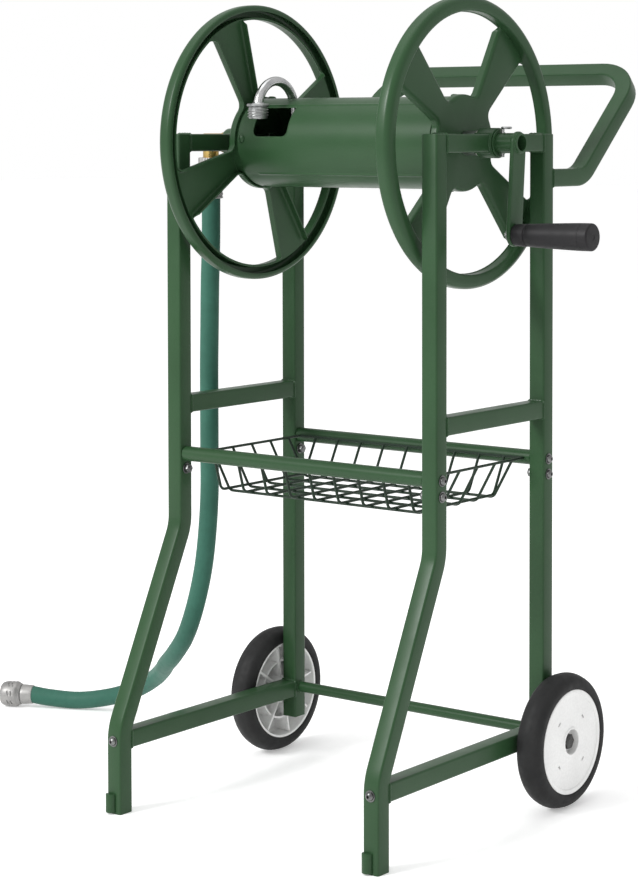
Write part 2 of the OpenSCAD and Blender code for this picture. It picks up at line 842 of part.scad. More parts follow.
// Male hose thread that points down in front of the drum; the pipe's bend starts inside its flared seat
module outlet_fitting() {
    thread_end = axis_z + fitting_top - fitting_len;
    color(zinc) place() translate([pipe_x, axis_y - 2 * pipe_r, thread_end]) difference() {
        union() {
            cylinder(d = fitting_d, h = fitting_len);
            translate([0, 0, fitting_len - 4]) cylinder(d = 29, h = 4);
        }
        translate([0, 0, -1]) cylinder(d = 17, h = 1 + fitting_len - 8);
        translate([0, 0, fitting_len - 8 - eps]) cylinder(d = pipe_d + 0.2, h = 2);
        translate([0, 0, fitting_len - 7]) cylinder(d1 = pipe_d + 0.2, d2 = pipe_d + 2, h = 7 + eps);
    }
}

module crank_arm() {
    color(paint) place() translate([arm_x, axis_y, axis_z]) about_x() rotate(-crank_lean) difference() {
        linear_extrude(arm_t) {
            circle(d = arm_w);
            translate([-arm_w / 2, -crank_r]) square([arm_w, crank_r]);
            translate([0, -crank_r]) circle(d = arm_w);
        }
        translate([0, 0, -1]) cylinder(d = shaft_d, h = arm_t + 2);
        translate([0, -crank_r, -1]) cylinder(d = stud_d, h = arm_t + 2);
    }
}

module on_grip() {
    translate([0, axis_y - crank_r * sin(crank_lean), axis_z - crank_r * cos(crank_lean)]) about_x() children();
}

module grip_stud() {
    color(zinc) place() on_grip() {
        translate([0, 0, arm_x - 9]) cylinder(d = stud_d, h = stud_head_x - arm_x + 9 + eps);
        translate([0, 0, stud_head_x]) cylinder(d = 13, h = 5);
    }
}

module grip_nut() {
    color(zinc) place() on_grip() translate([0, 0, arm_x - 6.5]) difference() {
        hexagon(13, 6.5);
        translate([0, 0, -1]) cylinder(d = stud_d, h = 9);
    }
}

// Tapered grip, with a groove near the arm and a cavity for the stud's head
module crank_grip() {
    body_len = grip_len - cap_len;
    color(rubber) place() on_grip() translate([0, 0, grip_x]) difference() {
        union() {
            cylinder(d1 = 26.4, d2 = 27.4, h = 17, $fn = 64);
            translate([0, 0, 17 - eps]) cylinder(d = 25, h = 2.4, $fn = 64);
            translate([0, 0, 19]) cylinder(d1 = 27.4, d2 = grip_d, h = body_len - 19, $fn = 64);
        }
        translate([0, 0, -1]) cylinder(d = stud_d + 0.14, h = body_len + 2);
        translate([0, 0, stud_head_x - grip_x - 0.5]) cylinder(d = 14, h = 60);
    }
}

// Cap pressed in the end of the grip
module grip_cap() {
    round_r = 2.5;
    color(rubber) place() on_grip() translate([0, 0, grip_x + grip_len - cap_len]) rotate_extrude($fn = 64) {
        square([grip_d / 2 - round_r, cap_len]);
        square([grip_d / 2, cap_len - round_r]);
        intersection() {
            translate([grip_d / 2 - round_r, cap_len - round_r]) circle(round_r);
            square([grip_d, cap_len]);
        }
        translate([0, -6]) square([7, 6 + eps]);
    }
}

// ---- Water inlet and hose ----

// Elbow that stays still while the reel's stem turns in it
module inlet_swivel() {
    color(brass) place() difference() {
        union() {
            rod_x(swivel_end, -housing_end - 4, axis_y, axis_z, 2 * swivel_r);
            translate([swivel_x, axis_y, hose_top - 10]) cylinder(d = 21, h = axis_z - hose_top + 10);
            translate([swivel_x, axis_y, hose_top - 12]) cylinder(d = fitting_d - 0.6, h = 12);
        }
        rod_x(stem_end - 1, -housing_end, axis_y, axis_z, stem_d + 0.14);
        translate([swivel_x, axis_y, hose_top - 20]) cylinder(d = 11, h = axis_z - hose_top + 20);
    }
}

// Hose coupling on the swivel, with its long ferrule
module hose_top_coupling() {
    color(zinc) place() translate([swivel_x, axis_y, coupling_end]) difference() {
        union() {
            cylinder(d = 31, h = hose_top - coupling_end - 22);
            translate([0, 0, hose_top - coupling_end - 22]) cylinder(d = 33.6, h = 22);
        }
        translate([0, 0, -1]) cylinder(d = 18, h = 80);
        translate([0, 0, hose_top - coupling_end - 12]) cylinder(d = fitting_d - 0.6, h = 20);
    }
}

function route_dir(p, i) = unit(p[min(i + 1, len(p) - 1)] - p[max(i - 1, 0)]);

// Points of one ring of the tube, square to the route
function tube_ring(p, i, r, n) =
    let (
        dir = i == 0 ? [0, 0, -1] : i == len(p) - 1 ? unit(hose_end_dir) : route_dir(p, i),
        across = unit(cross(dir, [0.3, 1, 0])),
        up = cross(dir, across)
    )
    [for (k = [0 : n - 1]) p[i] + r * (cos(360 * k / n) * across + sin(360 * k / n) * up)];

module leader_hose() {
    n = hose_sides;
    last = len(hose_route) - 1;
    points = [for (i = [0 : last]) each tube_ring(hose_route, i, hose_d / 2, n)];
    sides = [for (i = [0 : last - 1], k = [0 : n - 1])
        [i * n + k, (i + 1) * n + k, (i + 1) * n + (k + 1) % n, i * n + (k + 1) % n]];
    caps = [[for (k = [0 : n - 1]) k], [for (k = [n - 1 : -1 : 0]) last * n + k]];
    color(hose_green) polyhedron(points, concat(sides, caps));
}

module on_hose_end() frame_at(hose_end, [0, 0, 1], unit(hose_end_dir)) children();

// Crimped ferrule with the tail that holds the coupling
module hose_end_ferrule() {
    color(zinc) on_hose_end() difference() {
        union() {
            cylinder(d = 29, h = ferrule_len);
            cylinder(d = tail_d, h = ferrule_len + tail_len);
            translate([0, 0, ferrule_len + tail_len - tail_lip]) cylinder(d = tail_lip_d, h = tail_lip);
        }
        translate([0, 0, -1]) cylinder(d = 14, h = 60);
    }
}

// Female coupling that turns on the ferrule's tail
module hose_end_coupling() {
    color(zinc) on_hose_end() translate([0, 0, ferrule_len + 0.4]) difference() {
        union() {
            cylinder(d1 = 31, d2 = coupling_d, h = 5);
            translate([0, 0, 5 - eps]) cylinder(d = coupling_d, h = coupling_len - 5);
        }
        translate([0, 0, -1]) cylinder(d = tail_d + 0.14, h = coupling_len + 2);
        translate([0, 0, tail_len - tail_lip - 0.8]) cylinder(d = tail_lip_d + 0.8, h = tail_lip + 1);
        translate([0, 0, thread_start]) cylinder(d = thread_bore, h = coupling_len);
    }
}

front_leg(-1);  // left_front_leg
front_leg(1);  // right_front_leg
rear_leg(-1);  // left_rear_leg
rear_leg(1);  // right_rear_leg
top_rail(-1);  // left_top_rail
top_rail(1);  // right_top_rail
mid_rail(-1);  // left_mid_rail
mid_rail(1);  // right_mid_rail
bottom_rail(-1);  // left_bottom_rail
bottom_rail(1);  // right_bottom_rail
tie_bar(front_y);  // front_tie_bar
tie_bar(rear_y);  // rear_tie_bar
lower_tie_rod();
handle();
foot_tabs();
tube_plugs();
rail_inserts();
axle_blocks();
bolt_spacers();
tie_bolts();
leg_bolts();
leg_nuts();
foot_bolts();
wire_basket();
bearing_housing(-1);  // left_bearing_housing
bearing_housing(1);  // right_bearing_housing
bearing_bush(-1);  // left_bearing_bush
bearing_bush(1);  // right_bearing_bush
axle_bolts();
axle_washers();
tyre(-1);  // left_tyre
rim(-1);  // left_rim
wheel_bush(-1);  // left_wheel_bush
tyre(1);  // right_tyre
rim(1);  // right_rim
wheel_bush(1);  // right_wheel_bush
drum_shell();
disc(-1, left_spoke_angle);  // left_disc
disc(1, right_spoke_angle);  // right_disc
drum_screws();
crank_shaft();
inlet_shaft();
shaft_spacers();
shaft_washer();
hitch_pin();
inlet_stem();
stem_o_rings();
water_pipe();
outlet_fitting();
crank_arm();
grip_stud();
grip_nut();
crank_grip();
grip_cap();
inlet_swivel();
hose_top_coupling();
leader_hose();
hose_end_ferrule();
hose_end_coupling();
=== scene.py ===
import json
from math import asin, ceil, cos, degrees, exp, pi, radians, sin, sqrt, tan

import bmesh
import bpy
from mathutils import Matrix, Vector


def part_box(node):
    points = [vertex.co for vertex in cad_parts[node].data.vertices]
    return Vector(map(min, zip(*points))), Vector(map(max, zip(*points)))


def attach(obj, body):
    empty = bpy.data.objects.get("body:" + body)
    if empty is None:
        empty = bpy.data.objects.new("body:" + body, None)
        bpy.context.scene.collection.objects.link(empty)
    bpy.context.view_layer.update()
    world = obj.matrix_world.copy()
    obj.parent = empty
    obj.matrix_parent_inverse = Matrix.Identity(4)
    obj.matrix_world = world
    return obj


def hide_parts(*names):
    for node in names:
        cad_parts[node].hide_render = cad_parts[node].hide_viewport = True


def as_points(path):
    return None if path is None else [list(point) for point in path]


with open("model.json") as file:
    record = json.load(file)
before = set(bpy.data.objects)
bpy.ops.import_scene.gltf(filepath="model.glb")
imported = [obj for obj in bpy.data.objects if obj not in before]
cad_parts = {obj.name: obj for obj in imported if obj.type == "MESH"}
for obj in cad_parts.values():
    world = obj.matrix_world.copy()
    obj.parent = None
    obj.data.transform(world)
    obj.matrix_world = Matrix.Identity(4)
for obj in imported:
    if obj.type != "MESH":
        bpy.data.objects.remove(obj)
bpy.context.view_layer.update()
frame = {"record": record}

# Sizes and places are in millimetres. new_object turns them into metres, Blender's unit.

MM = 0.001
UP, RIGHT, BACK = Vector((0, 0, 1)), Vector((1, 0, 0)), Vector((0, 1, 0))
SIDES = (("left", -1), ("right", 1))


# ---- Places, all taken from the frame ----

def box(node):
    """The low and high corners of a CAD node."""
    return [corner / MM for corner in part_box(node)]


def middle(node):
    low, high = box(node)
    return (low + high) / 2


MID_X = (middle("left_bearing_housing").x + middle("right_bearing_housing").x) / 2
AXIS = Vector((MID_X, middle("right_bearing_housing").y, middle("right_bearing_housing").z))
GRIP_AXIS = Vector((MID_X, middle("grip_nut").y, middle("grip_nut").z))
WHEEL_AXIS = Vector((MID_X, middle("right_tyre").y, middle("right_tyre").z))
LEG_X = middle("right_rear_leg").x - MID_X
REAR_Y = middle("right_rear_leg").y
FRAME_TOP = box("right_rear_leg")[1].z
TUBE = 22.2
TUBE_ROUND = 2.6
TUBE_WALL = 1.6
FRONT_Y = AXIS.y - (REAR_Y - AXIS.y)
FOOT_Y = box("right_front_leg")[0].y + TUBE / 2
FRONT_FACE = FRONT_Y + TUBE / 2
REAR_FACE = REAR_Y - TUBE / 2
INNER_X = LEG_X - TUBE / 2
OUTER_X = LEG_X + TUBE / 2


def level_with(centre, x):
    """The point at x on the crosswise line through centre."""
    return Vector((x, centre.y, centre.z))


# ---- Making meshes ----

def link(name, data):
    """A new object with this data, put in the scene."""
    obj = bpy.data.objects.new(name, data)
    bpy.context.scene.collection.objects.link(obj)
    return obj


def shaded(name, mesh, sharp=35):
    """A mesh's object, smooth but for the edges over an angle."""
    mesh.shade_smooth()
    mesh.set_sharp_from_angle(angle=radians(sharp))
    return link(name, mesh)


def finish_mesh(name, mesh, sharp=35):
    """Cleans a mesh and makes its object."""
    bm = bmesh.new()
    bm.from_mesh(mesh)
    bmesh.ops.remove_doubles(bm, verts=bm.verts, dist=1e-7)
    bmesh.ops.recalc_face_normals(bm, faces=bm.faces)
    bm.to_mesh(mesh)
    bm.free()
    return shaded(name, mesh, sharp)


def new_object(name, verts, faces, sharp=35):
    mesh = bpy.data.meshes.new(name)
    mesh.from_pydata([tuple(v * MM) for v in verts], [], faces)
    return finish_mesh(name, mesh, sharp)


def apply_modifiers(obj, sharp=35):
    """Replaces an object by its evaluated mesh, under the same name."""
    dg = bpy.context.evaluated_depsgraph_get()
    mesh = bpy.data.meshes.new_from_object(obj.evaluated_get(dg))
    name = obj.name
    bpy.data.objects.remove(obj)
    return finish_mesh(name, mesh, sharp)


def bevelled(obj, width, segments=2, angle=30):
    """Rounds an object's edges that are sharper than an angle."""
    mod = obj.modifiers.new("bevel", "BEVEL")
    mod.width = width * MM
    mod.segments = segments
    mod.limit_method = "ANGLE"
    mod.angle_limit = radians(angle)
    return apply_modifiers(obj)


def cut(obj, cutter, sharp=35):
    """Takes a cutter out of an object and removes the cutter."""
    mod = obj.modifiers.new("cut", "BOOLEAN")
    mod.operation = "DIFFERENCE"
    mod.solver = "EXACT"
    mod.object = cutter
    out = apply_modifiers(obj, sharp)
    bpy.data.objects.remove(cutter)
    return out


def joined(name, objects):
    """One object made of several."""
    bm = bmesh.new()
    for o in objects:
        bm.from_mesh(o.data)
    mesh = bpy.data.meshes.new(name)
    bm.to_mesh(mesh)
    bm.free()
    for o in objects:
        bpy.data.objects.remove(o)
    return shaded(name, mesh)


def basis(axis, hint=UP):
    """Two unit vectors square to axis, the first as near to hint as it goes."""
    z = Vector(axis).normalized()
    if abs(z.dot(hint)) > 0.99:
        hint = BACK
    x = (hint - z * hint.dot(z)).normalized()
    return x, z.cross(x)


def spoke(axis, turn):
    """The unit vector square to axis at a part of a turn round it."""
    x, y = basis(axis)
    a = 2 * pi * turn
    return x * cos(a) + y * sin(a)


def radial(angle):
    """The unit vector square to the cart's crosswise axes, at degrees from BACK towards UP."""
    a = radians(angle)
    return Vector((0, cos(a), sin(a)))


def arc(cx, cy, rx, ry, a0, a1, steps):
    """Points of an elliptical arc, angles in degrees."""
    turns = [radians(a0 + (a1 - a0) * i / steps) for i in range(steps + 1)]
    return [(cx + rx * cos(a), cy + ry * sin(a)) for a in turns]


def circle(r, steps=24, start=0):
    return arc(0, 0, r, r, start, start + 360 * (steps - 1) / steps, steps - 1)


def rounded_square(w, r, steps=4):
    h = w / 2 - r
    out = []
    for cx, cy, a in ((h, h, 0), (-h, h, 90), (-h, -h, 180), (h, -h, 270)):
        out += arc(cx, cy, r, r, a, a + 90, steps)
    return out


def tube_profile(bore, r, a, b, soft):
    """Closed (radius, distance) outline of a tube from a to b with softened outer ends."""
    return [(bore, a), (r - soft, a), (r, a + soft), (r, b - soft), (r - soft, b), (bore, b)]


def pin_profile(r, a, b):
    """Open (radius, distance) outline of a plain cylinder from a to b."""
    return [(0, a), (r, a), (r, b), (0, b)]


def rounded_path(points, radii=(), steps=12):
    """[(point, tangent)] along straight runs and round bends."""
    p = [Vector(q) for q in points]
    out = [(p[0], (p[1] - p[0]).normalized())]
    for i, r in enumerate(radii, 1):
        a, b = (p[i] - p[i - 1]).normalized(), (p[i + 1] - p[i]).normalized()
        turn = a.angle(b)
        axis = a.cross(b).normalized()
        start = p[i] - a * r * tan(turn / 2)
        centre = start + axis.cross(a) * r
        for k in range(steps + 1):
            spin = Matrix.Rotation(turn * k / steps, 3, axis)
            out.append((centre + spin @ (start - centre), spin @ a))
    out.append((p[-1], (p[-1] - p[-2]).normalized()))
    return out


def smooth_path(points, steps=6):
    """[(point, tangent)] along a Catmull-Rom curve through points."""
    p = [Vector(q) for q in points]
    p = [2 * p[0] - p[1], *p, 2 * p[-1] - p[-2]]
    out = []
    for i in range(1, len(p) - 2):
        a, b, c, d = p[i - 1:i + 3]
        bend, twist = 2 * a - 5 * b + 4 * c - d, 3 * b - 3 * c + d - a
        for k in range(steps + (i == len(p) - 3)):
            t = k / steps
            q = 0.5 * (2 * b + (c - a) * t + bend * t * t + twist * t ** 3)
            v = 0.5 * (c - a + 2 * bend * t + 3 * twist * t * t)
            out.append((q, v.normalized()))
    return out


def loop_path(loop):
    """[(point, tangent)] round a closed loop of points."""
    n = len(loop)
    return [(p, (loop[(i + 1) % n] - loop[i - 1]).normalized()) for i, p in enumerate(loop)]


def carried_frames(path, hint):
    """[(point, x, y)] with axes carried along the path without twist."""
    x, y = basis(path[0][1], hint)
    out = [(path[0][0], x, y)]
    last = path[0][1]
    for point, tangent in path[1:]:
        x = last.rotation_difference(tangent) @ x
        x = (x - tangent * x.dot(tangent)).normalized()
        out.append((point, x, tangent.cross(x)))
        last = tangent
    return out


def quads(rows, n, rows_close=False, row_closes=True):
    """The faces between rows of n points, numbered row after row."""
    return [(i * n + k, i * n + (k + 1) % n, (i + 1) % rows * n + (k + 1) % n, (i + 1) % rows * n + k)
            for i in range(rows if rows_close else rows - 1) for k in range(n if row_closes else n - 1)]


def lids(rows, n):
    """The faces over the first and the last of rows of n points."""
    return [tuple(range(n)), tuple(range(rows * n - n, rows * n))]


def lathe(name, profile, origin, axis, steps=64):
    """Turns a (radius, distance) outline round an axis. It is closed unless it starts on the axis."""
    verts = []
    for k in range(steps):
        d = spoke(axis, k / steps)
        verts += [origin + d * r + axis * h for r, h in profile]
    return new_object(name, verts, quads(steps, len(profile), True, profile[0][0] > 0))


def sweep(name, path, section, hint=UP, closed=False, scale=None):
    """Carries a closed section along [(point, tangent)]."""
    frames = carried_frames(path, hint)
    rows, n = len(frames), len(section)
    scaled = zip(frames, scale or [1] * rows)
    verts = [p + x * u * s + y * v * s for (p, x, y), s in scaled for u, v in section]
    return new_object(name, verts, quads(rows, n, closed) + ([] if closed else lids(rows, n)))


def hollow_tube(name, points, radii=(), closed_ends=(False, False), hint=UP):
    """A bent square tube with its bore. A closed end has a wall with a rounded outer edge."""
    outer = rounded_square(TUBE, TUBE_ROUND)
    inner = rounded_square(TUBE - 2 * TUBE_WALL, 0.6)
    soft, steps, n = 1.2, 3, len(outer)
    frames = carried_frames(rounded_path(points, radii), hint)
    verts = []

    def ring(place, section, shift=0.0, shrink=0.0):
        """Adds a section, moved along the tube and made narrower on every side."""
        p, x, y = place
        s = 1 - shrink / max(u for u, v in section)
        verts.extend(p + x.cross(y) * shift + x * u * s + y * v * s for u, v in section)

    def inward(i):
        """The way into the tube at a closed end, as 1 or -1, and 0 elsewhere."""
        return (i == 0 and closed_ends[0]) - (i == len(frames) - 1 and closed_ends[1])

    for i, place in enumerate(frames):
        way = inward(i)
        if not way:
            ring(place, outer)
            continue
        for t in [pi / 2 * k / steps for k in range(steps + 1)][::-way]:
            ring(place, outer, way * soft * (1 - sin(t)), soft * (1 - cos(t)))
    bore = len(verts)
    for i, place in enumerate(frames):
        ring(place, inner, inward(i) * TUBE_WALL)
    faces = quads(bore // n, n) + [tuple(bore + v for v in f) for f in quads(len(frames), n)]
    for closed, a, b in ((closed_ends[0], 0, bore), (closed_ends[1], bore - n, len(verts) - n)):
        if closed:
            faces += [tuple(range(a, a + n)), tuple(range(b, b + n))]
        else:
            faces += [(a + k, a + (k + 1) % n, b + (k + 1) % n, b + k) for k in range(n)]
    return new_object(name, verts, faces)


def block(name, size, centre, x, z, soft=0.6, segments=2):
    """A box with rounded edges, turned so that its own X and Z lie along x and z."""
    x, z = x.normalized(), z.normalized()
    y = z.cross(x)
    verts = [centre + x * (i * size[0] / 2) + y * (j * size[1] / 2) + z * (k * size[2] / 2)
             for i in (-1, 1) for j in (-1, 1) for k in (-1, 1)]
    faces = [(0, 1, 3, 2), (4, 6, 7, 5), (0, 4, 5, 1), (2, 3, 7, 6), (0, 2, 6, 4), (1, 5, 7, 3)]
    return bevelled(new_object(name, verts, faces), soft, segments)


def prism(name, outline, origin, x, y, depth):
    """A flat outline, in the axes x and y, given a thickness along x cross y."""
    n = len(outline)
    verts = [origin + x * u + y * v + x.cross(y) * h for h in (0, depth) for u, v in outline]
    return new_object(name, verts, quads(2, n) + lids(2, n))


# ---- Materials ----

def srgb(r, g, b):
    """Linear colour from 0 to 255 display values."""
    out = []
    for v in (r, g, b):
        c = v / 255
        out.append(c / 12.92 if c <= 0.04045 else ((c + 0.055) / 1.055) ** 2.4)
    return (*out, 1.0)


def add_node(tree, kind, inputs, output, **settings):
    """Adds a shader node and gives one of its outputs. Inputs are values or other nodes' outputs."""
    made = tree.nodes.new("ShaderNode" + kind)
    for key, value in settings.items():
        setattr(made, key, value)
    for key, value in inputs.items():
        if isinstance(value, bpy.types.NodeSocket):
            tree.links.new(value, made.inputs[key])
        else:
            made.inputs[key].default_value = value
    return made.outputs[output]


def material(name, low, high, rough, patch=9, grain=900, bump=0.05, metal=0.0, coat=0.0, edge=None,
             rough_spread=0.06, specular=0.5):
    """A surface whose colour drifts from low to high, with uneven gloss, a fine grain and edges lightened by
    a painted highlight, broken up like wear.

    patch and grain are the noise scales of the drift and the grain, and edge is the colour, width and
    strength of the painted edge highlight, which noise breaks up like wear.
    """
    mat = bpy.data.materials.new(name)
    mat.use_nodes = True
    tree = mat.node_tree
    shader = tree.nodes["Principled BSDF"].inputs
    low, high = srgb(*low), srgb(*high)
    for key, value in (("Metallic", metal), ("Coat Weight", coat), ("Coat Roughness", 0.25),
                       ("Specular IOR Level", specular)):
        shader[key].default_value = value
    place = add_node(tree, "TexCoord", {}, "Object")

    def noise(scale, detail, roughness=0.55):
        return add_node(tree, "TexNoise", {"Scale": scale, "Detail": detail, "Roughness": roughness,
                                                     "Vector": place}, "Fac")

    def mix(factor, a, b):
        return add_node(tree, "Mix", {"Factor": factor, "A": a, "B": b}, "Result", data_type="RGBA")

    def spread(value, a, b, low_end, high_end):
        return add_node(tree, "MapRange", {"Value": value, "From Min": a, "From Max": b,
                                                     "To Min": low_end, "To Max": high_end}, "Result")

    colour = mix(spread(noise(patch, 4), 0.35, 0.65, 0, 1), low, high)
    fleck = spread(noise(grain * 0.35, 2), 0.3, 0.7, 0, 0.22)
    colour = mix(fleck, colour, tuple(c * 0.72 for c in low[:3]) + (1,))
    # Painted highlight: edges are mixed towards a lighter colour, broken up by noise like wear.
    if edge:
        edge_highlight_colour, width, strength = edge
        soft_normal = add_node(tree, "Bevel", {"Radius": width * MM}, "Normal", samples=6)
        normal = add_node(tree, "NewGeometry", {}, "Normal")
        dot = add_node(tree, "VectorMath", {0: soft_normal, 1: normal}, "Value",
                       operation="DOT_PRODUCT")
        edge_highlight_and_wear = add_node(tree, "Math", {0: spread(dot, 0.99, 0.8, 0, strength),
                                                1: spread(noise(patch * 14, 5), 0.4, 0.62, 0.35, 1)},
                       "Value", operation="MULTIPLY")
        colour = mix(edge_highlight_and_wear, colour, srgb(*edge_highlight_colour))
    gloss = spread(noise(patch * 5, 5), 0.3, 0.7, rough - rough_spread, rough + rough_spread)
    relief = add_node(tree, "Bump", {"Strength": bump, "Distance": 0.4 * MM,
                                               "Height": noise(grain, 3, 0.5)}, "Normal")
    for key, value in (("Base Color", colour), ("Roughness", gloss), ("Normal", relief)):
        tree.links.new(value, shader[key])
    return mat


# The edge colours below are lighter than their looks: painted highlights along edges, patchy like wear.
SLOT_LOOKS = {
    "green_paint": material(
        "green_powder_coat", (38, 66, 40), (43, 73, 45), 0.36, patch=6, grain=1400, bump=0.1, coat=0.04,
        edge=((72, 106, 74), 1.1, 0.45), specular=0.2),
    "basket_paint": material(
        "dark_green_dip", (20, 38, 25), (26, 46, 31), 0.45, patch=14, grain=1100, bump=0.14, specular=0.25),
    "zinc": material(
        "zinc_plate", (150, 152, 152), (188, 189, 188), 0.34, patch=60, grain=1500, bump=0.12, metal=1.0,
        edge=((214, 214, 212), 0.4, 0.5)),
    "chrome_pipe": material(
        "polished_pipe", (176, 177, 178), (208, 208, 208), 0.2, patch=40, grain=2600, bump=0.03, metal=1.0,
        rough_spread=0.05),
    "hose_fitting": material(
        "nickel_plate", (138, 137, 136), (158, 157, 155), 0.46, patch=50, grain=1800, bump=0.1, metal=0.6,
        edge=((190, 189, 187), 0.5, 0.4)),
    "brass": material(
        "machined_brass", (176, 146, 84), (206, 176, 108), 0.32, patch=45, grain=1600, bump=0.08, metal=1.0,
        edge=((232, 208, 150), 0.4, 0.5)),
    "nylon": material("nylon", (206, 204, 192), (220, 218, 208), 0.5, patch=30, grain=1200),
    "white_plastic": material(
        "white_moulding", (226, 226, 225), (238, 238, 237), 0.38, patch=12, edge=((250, 250, 250), 0.6, 0.5)),
    "tyre": material(
        "tyre_rubber", (28, 28, 29), (34, 34, 34), 0.62, patch=22, grain=700, bump=0.22, rough_spread=0.08,
        specular=0.25),
    "black_plastic": material(
        "grip_plastic", (26, 25, 27), (32, 31, 33), 0.5, patch=26, grain=1000, bump=0.3, specular=0.25),
    "seal_rubber": material("seal_rubber", (24, 24, 24), (34, 34, 34), 0.5, patch=60),
    "hose": material(
        "hose_skin", (46, 90, 76), (52, 99, 84), 0.55, patch=16, grain=500, bump=0.12, specular=0.2),
}
# The fixings' edge colours are painted highlights too, patchy like wear.
FIXING = material(
    "grey_zinc", (98, 99, 99), (126, 127, 126), 0.34, patch=60, grain=1500, bump=0.12, metal=1.0,
    edge=((170, 170, 168), 0.4, 0.5))
# A darker copy of the zinc look: painted shade for the axle bolts and washers in the wheels' hub recesses.
RECESS_SHADE_FIXING = material(
    "zinc_with_painted_shade", (66, 66, 66), (88, 88, 87), 0.42, patch=60, grain=1500, bump=0.14, metal=0.9,
    edge=((128, 128, 126), 0.4, 0.4))


def dress(obj, slot_name, body, *nodes, look=None):
    """Gives a piece the look of its material slot, or the look given, puts it on its body and hides the CAD
    nodes it stands for.
    """
    obj.data.materials.clear()
    obj.data.materials.append(look or SLOT_LOOKS[slot_name])
    if nodes:
        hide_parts(*nodes)
    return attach(obj, body)


# ---- Camera, floor and lights ----

def make_camera():
    """The photograph's view. Places here and in make_studio's lights are in metres."""
    data = bpy.data.cameras.new("camera")
    data.sensor_width = 36
    data.lens = 93.89
    data.shift_x = -0.115
    data.shift_y = -0.245
    data.clip_end = 50
    cam = link("camera", data)
    cam.location = (1.7154, -2.3469, 0.8411)
    cam.rotation_euler = (radians(90 - 2.233), 0, radians(36.059))
    bpy.context.scene.camera = cam


def area_light(name, place, target, side, power):
    data = bpy.data.lights.new(name, "AREA")
    data.shape = "RECTANGLE"
    data.size = data.size_y = side
    data.energy = power
    lamp = link(name, data)
    lamp.location = place
    lamp.rotation_mode = "QUATERNION"
    lamp.rotation_quaternion = (Vector(target) - Vector(place)).to_track_quat("-Z", "Y")


def make_studio():
    reach, thick, gap = 30000, 9.9, 0.1
    floor = prism("floor", [(-reach, -reach), (reach, -reach), (reach, reach), (-reach, reach)],
                  -UP * (thick + gap), RIGHT, BACK, thick)
    mat = material("floor", (246, 246, 246), (248, 248, 248), 0.85, patch=0.6, grain=60, bump=0.02)
    shader = mat.node_tree.nodes["Principled BSDF"].inputs
    shader["Emission Color"].default_value = (1, 1, 1, 1)
    shader["Emission Strength"].default_value = 0.3
    floor.data.materials.append(mat)
    area_light("key", (-1.7, -4.2, 3.3), (0, 0, 0.6), 1.6, 205)
    area_light("top", (-0.6, -0.4, 4.4), (0, 0, 0.4), 3, 40)
    world = bpy.data.worlds.new("studio")
    world.use_nodes = True
    tree = world.node_tree
    back = tree.nodes["Background"].inputs
    back["Color"].default_value = (1, 1, 1, 1)
    seen = add_node(tree, "LightPath", {}, "Is Camera Ray")
    strength = add_node(tree, "MapRange", {"Value": seen, "To Min": 0.78, "To Max": 1.0}, "Result")
    tree.links.new(strength, back["Strength"])
    bpy.context.scene.world = world
    bpy.context.scene.view_settings.view_transform = "Standard"


# ---- The leader hose, a tube swept along a curve ----

HOSE_D = 24.6
HOSE_TOP = Vector((middle("hose_top_coupling").x, AXIS.y, box("hose_top_coupling")[0].z))
HOSE_POINTS = [HOSE_TOP] + [Vector(p) for p in (
    (-292, -60, 700), (-294, -60, 645), (-295, -60, 590), (-296, -60, 535),
    (-296, -60, 480), (-296, -60, 425), (-296, -60, 370), (-298, -62, 318), (-304, -64, 265),
    (-319, -63, 213), (-345, -54, 167), (-382, -36, 133), (-422, -8, 109), (-460, 26, 89),
    (-501, 53, 66), (-547, 66, 42), (-598, 66, 23), (-649, 52, 13), (-690, 32, 15),
    (-712, 21, 18.4))]
HOSE_END_DIR = Vector((-0.9, -0.436, 0)).normalized()


def make_hose():
    path = smooth_path(HOSE_POINTS, 6)
    path[0] = (path[0][0], -UP)
    path[-1] = (path[-1][0], HOSE_END_DIR)
    hose = sweep("leader_hose_line", path, circle(HOSE_D / 2, 40), hint=BACK)
    dress(hose, "hose", "frame", "leader_hose")
    return hose, [p * MM for p, t in path]


# ---- The frame ----

def square_tube(name, points, radii, closed_ends, node, hint=UP):
    return dress(hollow_tube(name, points, radii, closed_ends, hint), "green_paint", "frame", node)


def make_legs():
    bend_r, low_corner, high_corner = 60, 104, 344
    foot_y = FRONT_Y - 113
    for side, sign in SIDES:
        x = MID_X + sign * LEG_X
        bottom = box(side + "_rear_leg")[0].z
        front = [(x, foot_y, 0), (x, foot_y, low_corner), (x, FRONT_Y, high_corner), (x, FRONT_Y, FRAME_TOP)]
        rear = [(x, REAR_Y, bottom), (x, REAR_Y, FRAME_TOP)]
        for leg, points, radii in (("_front_leg", front, [bend_r] * 2), ("_rear_leg", rear, [])):
            square_tube(side + leg + "_tube", points, radii, (False, True), side + leg, RIGHT)


def make_handle():
    top_y, top_z = AXIS.y + 349, AXIS.z + 90.9
    low_z = box("handle")[0].z + TUBE / 2
    low_y = top_y - (top_z - low_z) / tan(radians(42.5))
    points = []
    for sign in (1, -1):
        x = MID_X + sign * LEG_X
        points += [(x, REAR_Y + TUBE / 2, low_z), (x, low_y, low_z), (x, top_y, top_z)][::sign]
    square_tube("handle_tube", points, [45, 55, 55, 45], (False, False), "handle", RIGHT)


HOUSING_R = 18.3


